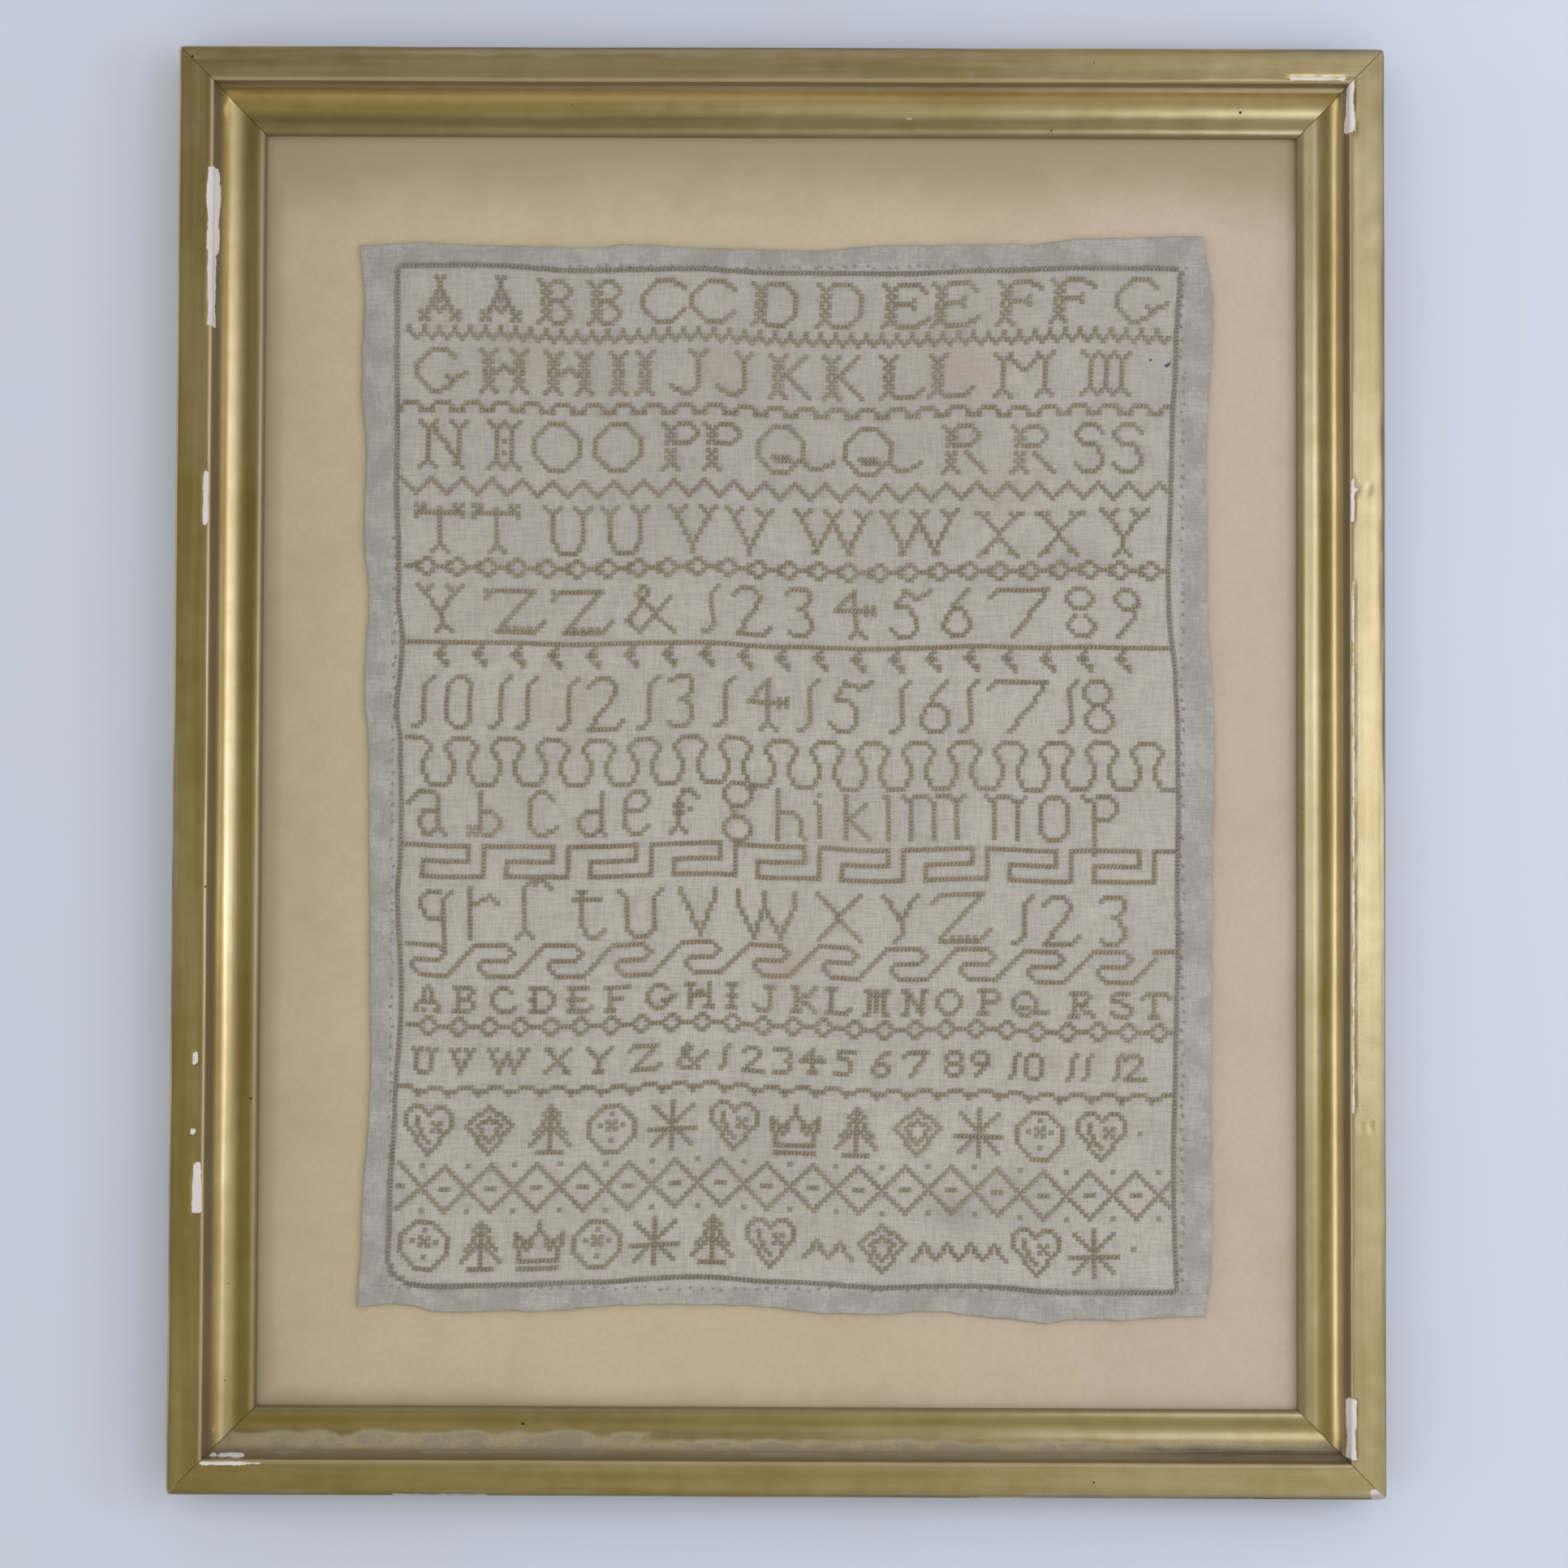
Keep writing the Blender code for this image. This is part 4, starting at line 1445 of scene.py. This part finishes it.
BANDS = (
    Band(16, 4, "0,0 0,1 2,3 4,1", 3, 202),
    Band(36, 8, "0,1 1,0 4,0 5,1 5,2 7,2 8,1 | .0,2"),
    Band(56, 8, "0,0 4,4 8,0"),
    Band(77, 8, "0,2 3,2 4,1 5,0 6,0 7,1 8,2 | 4,3 5,4 6,4 7,3 | .3,1 | .3,3", 2, 203),
    Band(124, 12, "0,0 4,0 6,2 6,3 4,6 4,9 6,12 10,12 12,9 12,6 10,3 10,2 12,0", 2, 203),
    Band(152, 22, "0,0 17,0 17,4 5,4 5,8 21,8 21,0 22,0", 1, 198),
    Band(178, 18, "0,0 8,0 10,2 8,4 2,4 1,5 1,6 3,8 10,8 18,0", 2, 198),
    Band(197, 8, "0,2 3,2 4,1 5,0 6,0 7,1 8,2 | 4,3 5,4 6,4 7,3", 2, 203),
    Band(215, 8, "0,0 3,0 4,1 7,1 8,0 | .5,2"),
    Band(235, 12, "0,0 12,12 | 0,12 12,0 | .0,6 | .1,6 | .11,6 | .6,0 | .6,12", 2, 203),
)


@dataclass
class Chart:
    """Gathers the stitches of every piece, as (column, row) cells."""

    cells: dict = field(default_factory=lambda: {piece: set() for piece in Piece})

    LOWER_ROWS = 130  # bands from this row down go into the lower piece
    RULED = 99
    HOOK = "2,1 0,3 3,6 | 1,3 2,3 | .3,5"
    CURVE = 5
    TAILED = (152, 178)  # rows of the bands that stop short and run on as a plain line
    TAIL_START = 198
    MARKS = {
        "^": ((0, 0), (-1, 1), (1, 1), (-2, 2), (2, 2)),
        "v": ((0, 0), (-1, -1), (1, -1), (-2, -2), (2, -2)),
        "*": ((0, 0), (-1, 1), (1, 1), (-1, -1), (1, -1)),
        ".": ((0, 0),),
    }

    def stroke(self, words: list, stretch: float) -> list:
        """The cells of one pen path.

        Args:
            words: its points, or one marked point.
            stretch: how much taller than drawn it is stitched.

        Returns:
            Cells as (x, y).
        """
        mark = words[0][0]
        if mark in self.MARKS:
            x, y = (int(part) for part in words[0][1:].split(","))
            return [(x + dx, round(y * stretch) + dy) for dx, dy in self.MARKS[mark]]
        pairs = ((int(part) for part in word.split(",")) for word in words)
        points = [(x, round(y * stretch)) for x, y in pairs]
        cells = []
        for (x0, y0), (x1, y1) in zip(points, points[1:]):
            steps = max(abs(x1 - x0), abs(y1 - y0), 1)
            for step in range(steps + 1):
                cells.append((round(x0 + (x1 - x0) * step / steps), round(y0 + (y1 - y0) * step / steps)))
        return cells

    def draw(self, path: str, stretch: float = 1.0) -> list:
        """The cells of all a glyph's pen paths."""
        return [cell for part in path.split("|") for cell in self.stroke(part.split(), stretch)]

    def write(self, line: Line) -> None:
        """Stitch one row of letters."""
        glyphs = SMALL if line.font is Font.SMALL else TALL
        stretch = (line.height - 1) / line.font.value
        for word in line.words.split():
            glyph, column = word.split("@")
            for x, y in self.draw(glyphs[glyph], stretch):
                self.cells[line.piece].add((int(column) + x, line.foot - y))

    def run(self, band: Band) -> None:
        """Stitch one band, repeat after repeat."""
        piece = Piece.UPPER_BANDS if band.top < self.LOWER_ROWS else Piece.LOWER_BANDS
        repeat = self.draw(band.path)
        for start in range(band.start, band.end, band.repeat):
            for x, y in repeat:
                if start + x <= band.end:
                    self.cells[piece].add((start + x, band.top + y))

    def rule(self) -> None:
        """Stitch the ruled line and the hooks that hang from it."""
        cells = self.cells[Piece.UPPER_BANDS]
        cells.update((column, self.RULED) for column in range(1, 204))
        hook = self.draw(self.HOOK)
        for start in range(9, 198, 10):
            cells.update((start + x, self.RULED + y) for x, y in hook)

    def border(self, cloth: Cloth) -> None:
        """Stitch the line round the whole field, rounded at its lower left corner."""
        last_column, last_row = cloth.stitch_columns - 1, cloth.stitch_rows - 1
        curve = self.CURVE
        cells = self.cells[Piece.BORDER]
        cells.update((column, 0) for column in range(1, last_column))
        cells.update((column, last_row) for column in range(curve, last_column))
        cells.update((0, row) for row in range(1, last_row - curve + 1))
        cells.update((last_column, row) for row in range(1, last_row))
        cells.update(self.draw(f"0,{last_row - curve} 2,{last_row - 2} {curve},{last_row}"))
        tails = self.cells[Piece.LOWER_BANDS]
        for row in self.TAILED:
            tails.update((column, row) for column in range(self.TAIL_START, last_column))

    def fill(self, cloth: Cloth) -> None:
        """Stitch everything."""
        self.border(cloth)
        self.rule()
        for line in LINES:
            self.write(line)
        for band in BANDS:
            self.run(band)


# The threads that aren't the letters' own, by the piece that they sew.
THREADS = {
    "hem_stitches": ThreadFinish("hem_thread", pale=(0.40, 0.37, 0.31), dark=(0.26, 0.24, 0.20)),
    Piece.BORDER.value: ThreadFinish(
        "border_thread", pale=(0.380, 0.336, 0.255), dark=(0.255, 0.220, 0.158)
    ),
}


@dataclass
class Embroidery:
    """Cross stitches as crossed threads, and the slip stitches of the hem."""

    cloth: Cloth
    thread: float = 0.39 * MM
    border_thread: float = 0.36 * MM
    reach: float = 0.66
    border_reach: float = 0.74
    sink: float = 0.16 * MM
    crown: float = 0.16 * MM
    rings: int = 4
    corners: int = 4
    unevenness: float = 0.045
    seed: int = 300
    hem_seed: int = 411
    hem_spacing: float = 3.4 * MM
    hem_inset: float = 0.6 * MM
    hem_thread_share: float = 0.8

    def legs(
        self, column: np.ndarray, row: np.ndarray, reach: float, draw: np.random.Generator
    ) -> list:
        """Both legs of each cross stitch, as start and end places on the chart.

        Args:
            column, row: the stitches.
            reach: how far a leg runs from the stitch's middle, in stitches.
            draw: the source of their unevenness.

        Returns:
            For each leg: start column, start row, end column, end row, lift.
        """
        made = []
        for slant, lift in ((1, 0.0), (-1, 0.8)):
            jitter = draw.normal(0, self.unevenness, (4, len(column)))
            start = (column - reach + jitter[0], row - reach * slant + jitter[1])
            end = (column + reach + jitter[2], row + reach * slant + jitter[3])
            made.append((*start, *end, np.full(len(column), lift)))
        return made

    def strands(
        self, start: tuple, end: tuple, lift: np.ndarray, draw: np.random.Generator, thread: float
    ) -> tuple:
        """Short lengths of thread that dive into the cloth at both ends.

        Args:
            start, end: x and y of each length's ends.
            lift: how many thread radii each rises over the one below it.
            draw: the source of their unevenness.
            thread: the strand's radius.

        Returns:
            The points and faces of them all.
        """
        count = len(lift)
        run_x, run_y = end[0] - start[0], end[1] - start[1]
        length = np.hypot(run_x, run_y)
        side = np.stack((-run_y / length, run_x / length), -1)
        radius = thread * draw.uniform(0.82, 1.15, count)
        points = np.zeros((count, self.rings, self.corners, 3))
        for ring in range(self.rings):
            part = ring / (self.rings - 1)
            inner = 0 < ring < self.rings - 1
            x, y = start[0] + run_x * part, start[1] + run_y * part
            rise = self.crown + lift * radius if inner else -self.sink
            middle = self.cloth.surface(x, y) + rise
            size = radius * (1.0 if inner else 0.6)
            for corner, (wide, high) in enumerate(((1, 0), (0, 0.8), (-1, 0), (0, -0.8))):
                points[:, ring, corner, 0] = x + side[:, 0] * size * wide
                points[:, ring, corner, 1] = y + side[:, 1] * size * wide
                points[:, ring, corner, 2] = middle + size * high
        tube = grid_faces(self.rings, self.corners, closed=True)
        last = (self.rings - 1) * self.corners
        ends = np.array(((3, 2, 1, 0), (last, last + 1, last + 2, last + 3)))
        one = np.concatenate((tube, ends))
        offsets = np.arange(count)[:, None, None] * self.rings * self.corners
        return points.reshape(-1, 3), (one[None] + offsets).reshape(-1, 4)

    def cross_stitches(self, piece: Piece, cells: set) -> bpy.types.Object:
        """Model one piece's cross stitches.

        Args:
            piece: which piece.
            cells: its stitches.

        Returns:
            The piece.
        """
        draw = np.random.default_rng(list(Piece).index(piece) + self.seed)
        column, row = (part + 0.5 for part in np.array(sorted(cells), dtype=float).T)
        points, faces, tones = [], [], []
        base = 0
        tone = draw.uniform(0, 1, len(column))
        thread, reach = self.thread, self.reach
        if piece is Piece.BORDER:
            thread, reach = self.border_thread, self.border_reach
        for c0, r0, c1, r1, lift in self.legs(column, row, reach, draw):
            start, end = self.cloth.chart_place(c0, r0), self.cloth.chart_place(c1, r1)
            made, joined = self.strands(start, end, lift, draw, thread)
            points.append(made)
            faces.append(joined + base)
            tones.append(np.repeat(tone, self.rings * self.corners))
            base += len(made)
        gathered = (np.concatenate(part) for part in (points, faces, tones))
        return self.dress(piece.value, *gathered)

    def hem_stitches(self) -> bpy.types.Object:
        """Model the small slanting slip stitches that hold the hem down."""
        cloth = self.cloth
        draw = np.random.default_rng(self.hem_seed)
        inset_side, inset_end = cloth.hem_side - self.hem_inset, cloth.hem_end - self.hem_inset
        spacing = self.hem_spacing
        run, slant = (0.9, 1.7), (0.2, 0.9)
        starts, ends = [], []
        for at in np.arange(cloth.left + inset_side, cloth.right - inset_side, spacing):
            for line, sign in ((cloth.top - inset_end, -1), (cloth.bottom + inset_end, 1)):
                place = np.array((at + draw.normal(0, 0.5 * MM), line + draw.normal(0, 0.3 * MM)))
                starts.append(place)
                way = (draw.uniform(*run), sign * draw.uniform(*slant))
                ends.append(place + np.array(way) * MM)
        for at in np.arange(cloth.bottom + inset_end, cloth.top - inset_end, spacing):
            for line, sign in ((cloth.left + inset_side, 1), (cloth.right - inset_side, -1)):
                place = np.array((line + draw.normal(0, 0.3 * MM), at + draw.normal(0, 0.5 * MM)))
                starts.append(place)
                way = (sign * draw.uniform(*slant), draw.uniform(*run))
                ends.append(place + np.array(way) * MM)
        start, end = np.array(starts).T, np.array(ends).T
        thread, flat = self.thread * self.hem_thread_share, np.zeros(len(starts))
        points, faces = self.strands(tuple(start), tuple(end), flat, draw, thread)
        tone = np.repeat(draw.uniform(0.6, 1.0, len(starts)), self.rings * self.corners)
        return self.dress("hem_stitches", points, faces, tone)

    def dress(
        self, name: str, points: np.ndarray, faces: np.ndarray, tone: np.ndarray
    ) -> bpy.types.Object:
        """Make a piece of threads and give it their finish.

        Args:
            name: the piece's name.
            points, faces: its threads.
            tone: how pale each point is, from 0 to 1.

        Returns:
            The piece.
        """
        piece = make_piece(name, points, faces.tolist(), sharp_deg=180)
        paint(piece, "tone", tone)
        finish = THREADS.get(name) or ThreadFinish(name.replace("stitched", "thread"))
        piece.data.materials.append(finish.material())
        report(piece)
        return piece

    def make(self) -> list:
        """Chart and stitch every piece.

        Returns:
            The pieces.
        """
        chart = Chart()
        chart.fill(self.cloth)
        pieces = [self.cross_stitches(piece, chart.cells[piece]) for piece in Piece]
        pieces.append(self.hem_stitches())
        return pieces


# --- the studio --------------------------------------------------------------


@dataclass(frozen=True)
class Studio:
    """The pale table, the soft window light at the right and the camera."""

    table_half: float = 3.0
    camera_place: tuple = (0.005, -0.041, 1.119)
    camera_turn: tuple = (0.0325, 0.0029, 0.0039)
    lens_mm: float = 80.35
    window_place: tuple = (1.25, 0.045, 0.80)
    window_size: tuple = (0.9, 0.50)
    window_power: float = 6.3
    window_tint: tuple = (0.96, 0.99, 1.18)
    overhead_place: tuple = (0.45, 0.085, 0.85)
    overhead_size: tuple = (0.34, 0.36)
    overhead_power: float = 0.93
    overhead_tint: tuple = (0.94, 1.0, 1.25)
    fill_place: tuple = (-1.5, -0.1, 0.35)
    fill_size: tuple = (0.35, 1.4)
    fill_power: float = 4.6
    fill_tint: tuple = (0.93, 0.96, 1.0)
    fill_lean_deg: float = -75
    room: tuple = (0.735, 0.745, 0.785)
    ceiling: tuple = (0.165, 0.130, 0.006)
    walls: tuple = (0.42, 0.35, 0.15)
    far_ceiling: tuple = (0.055, 0.038, 0.0)
    glow: tuple = (0.46, 0.43, 0.34)
    far_window: tuple = (0.80, 0.75, 0.62)
    # where each part of the room begins and is full, as the height or side of a direction
    ceiling_from: tuple = (0.05, 0.60)
    far_ceiling_from: tuple = (-0.02, 0.30)
    glow_from: tuple = (0.0, 0.26)
    glow_until: tuple = (0.30, 0.70)
    glow_fades: tuple = (0.0, 0.28)
    far_window_right: tuple = (0.05, 0.26)
    far_window_back: tuple = (0.42, 0.62)

    def table(self) -> None:
        """Lay the table, gently uneven, under the frame."""
        lines = np.linspace(-self.table_half, self.table_half, 61)
        x, y = np.meshgrid(lines, lines)
        low = ripple(x, y, 0.8, 91) * 1.5 * MM - 3 * MM
        near = 1 - soft_step(np.maximum(np.abs(x), np.abs(y)), 0.45, 0.9)
        z = low * (1 - near)
        mesh = bpy.data.meshes.new("table")
        points = np.stack((x, y, z), -1).reshape(-1, 3)
        mesh.from_pydata(points.tolist(), [], grid_faces(*x.shape).tolist())
        mesh.shade_smooth()
        floor = bpy.data.objects.new("table", mesh)
        bpy.context.scene.collection.objects.link(floor)
        mesh.materials.append(TableFinish("table_white").material())
        floor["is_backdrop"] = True

    def area(
        self, name: str, place: tuple, size: tuple, power: float, colour: tuple
    ) -> bpy.types.Object:
        """Add a rectangular light that looks straight down.

        Args:
            name: the light's name.
            place: where it hangs.
            size: its sides along X and Y.
            power: in watts.
            colour: its colour.

        Returns:
            The light.
        """
        lamp = bpy.data.lights.new(name, "AREA")
        lamp.shape = "RECTANGLE"
        lamp.size, lamp.size_y = size
        lamp.energy = power
        lamp.color = colour
        light = bpy.data.objects.new(name, lamp)
        light.location = place
        bpy.context.scene.collection.objects.link(light)
        return light

    def lights(self) -> None:
        """Hang the window, the low fill at the left, and the room, which polish sees as dim."""
        self.area(
            "window", self.window_place, self.window_size, self.window_power, self.window_tint
        )
        self.area(
            "overhead", self.overhead_place, self.overhead_size, self.overhead_power, self.overhead_tint
        )
        fill = self.area("fill", self.fill_place, self.fill_size, self.fill_power, self.fill_tint)
        fill.rotation_euler = (0, np.radians(self.fill_lean_deg), 0)
        world = bpy.data.worlds.new("room")
        world.use_nodes = True
        bpy.context.scene.world = world
        wiring = Wiring(world.node_tree)
        way = wiring.node("SeparateXYZ", {0: wiring.node("TexCoord").outputs["Generated"]})
        right, back, up = way.outputs
        far = wiring.spread(back, *self.far_ceiling_from)
        overhead = wiring.mix(far, self.ceiling, self.far_ceiling)
        mirrored = wiring.mix(wiring.spread(up, *self.ceiling_from), self.walls, overhead)
        near_window = wiring.spread(right, *self.glow_from)
        past_window = wiring.spread(right, *self.glow_until, 1.0, 0.0)
        glow_share = wiring.times(near_window, past_window)
        glow_share = wiring.times(glow_share, wiring.spread(back, *self.glow_fades, 1.0, 0.40))
        glowing = wiring.mix(glow_share, mirrored, self.glow)
        far_side = wiring.spread(right, *self.far_window_right)
        far_share = wiring.times(wiring.spread(back, *self.far_window_back), far_side)
        glowing = wiring.mix(far_share, glowing, self.far_window)
        glossy = wiring.node("LightPath").outputs["Is Glossy Ray"]
        colour = wiring.mix(glossy, self.room, glowing)
        background = world.node_tree.nodes["Background"]
        wiring.join(background.inputs["Color"], colour)
        background.inputs["Strength"].default_value = 1.0

    def camera(self) -> None:
        """Set the camera above the frame."""
        lens = bpy.data.cameras.new("camera")
        lens.lens = self.lens_mm
        lens.sensor_width = 36.0
        lens.clip_start = 0.01
        camera = bpy.data.objects.new("camera", lens)
        camera.location = self.camera_place
        camera.rotation_euler = self.camera_turn
        bpy.context.scene.collection.objects.link(camera)
        bpy.context.scene.camera = camera

    def make(self) -> None:
        """Set up the whole studio."""
        self.table()
        self.lights()
        self.camera()
        bpy.context.scene.view_settings.view_transform = "Standard"


def main() -> None:
    """Build the sampler from its frame inwards, and the studio round it."""
    logging.basicConfig(level=logging.INFO, format="%(name)s: %(message)s")
    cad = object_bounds()
    low, high = (np.array(corner) for corner in cad)
    Studio().make()
    Moulding(width=high[0] - low[0], height=high[1] - low[1], depth=high[2]).make()
    board_low, board_high = (np.array(corner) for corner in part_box("mount_board"))
    board = MountBoard(low=board_low, high=board_high).make()
    cloth = Cloth(lie=board_high[2] + 0.08 * MM)
    linen = Linen(cloth).make()
    stitches = Embroidery(cloth).make()


if __name__ == "__main__":
    main()
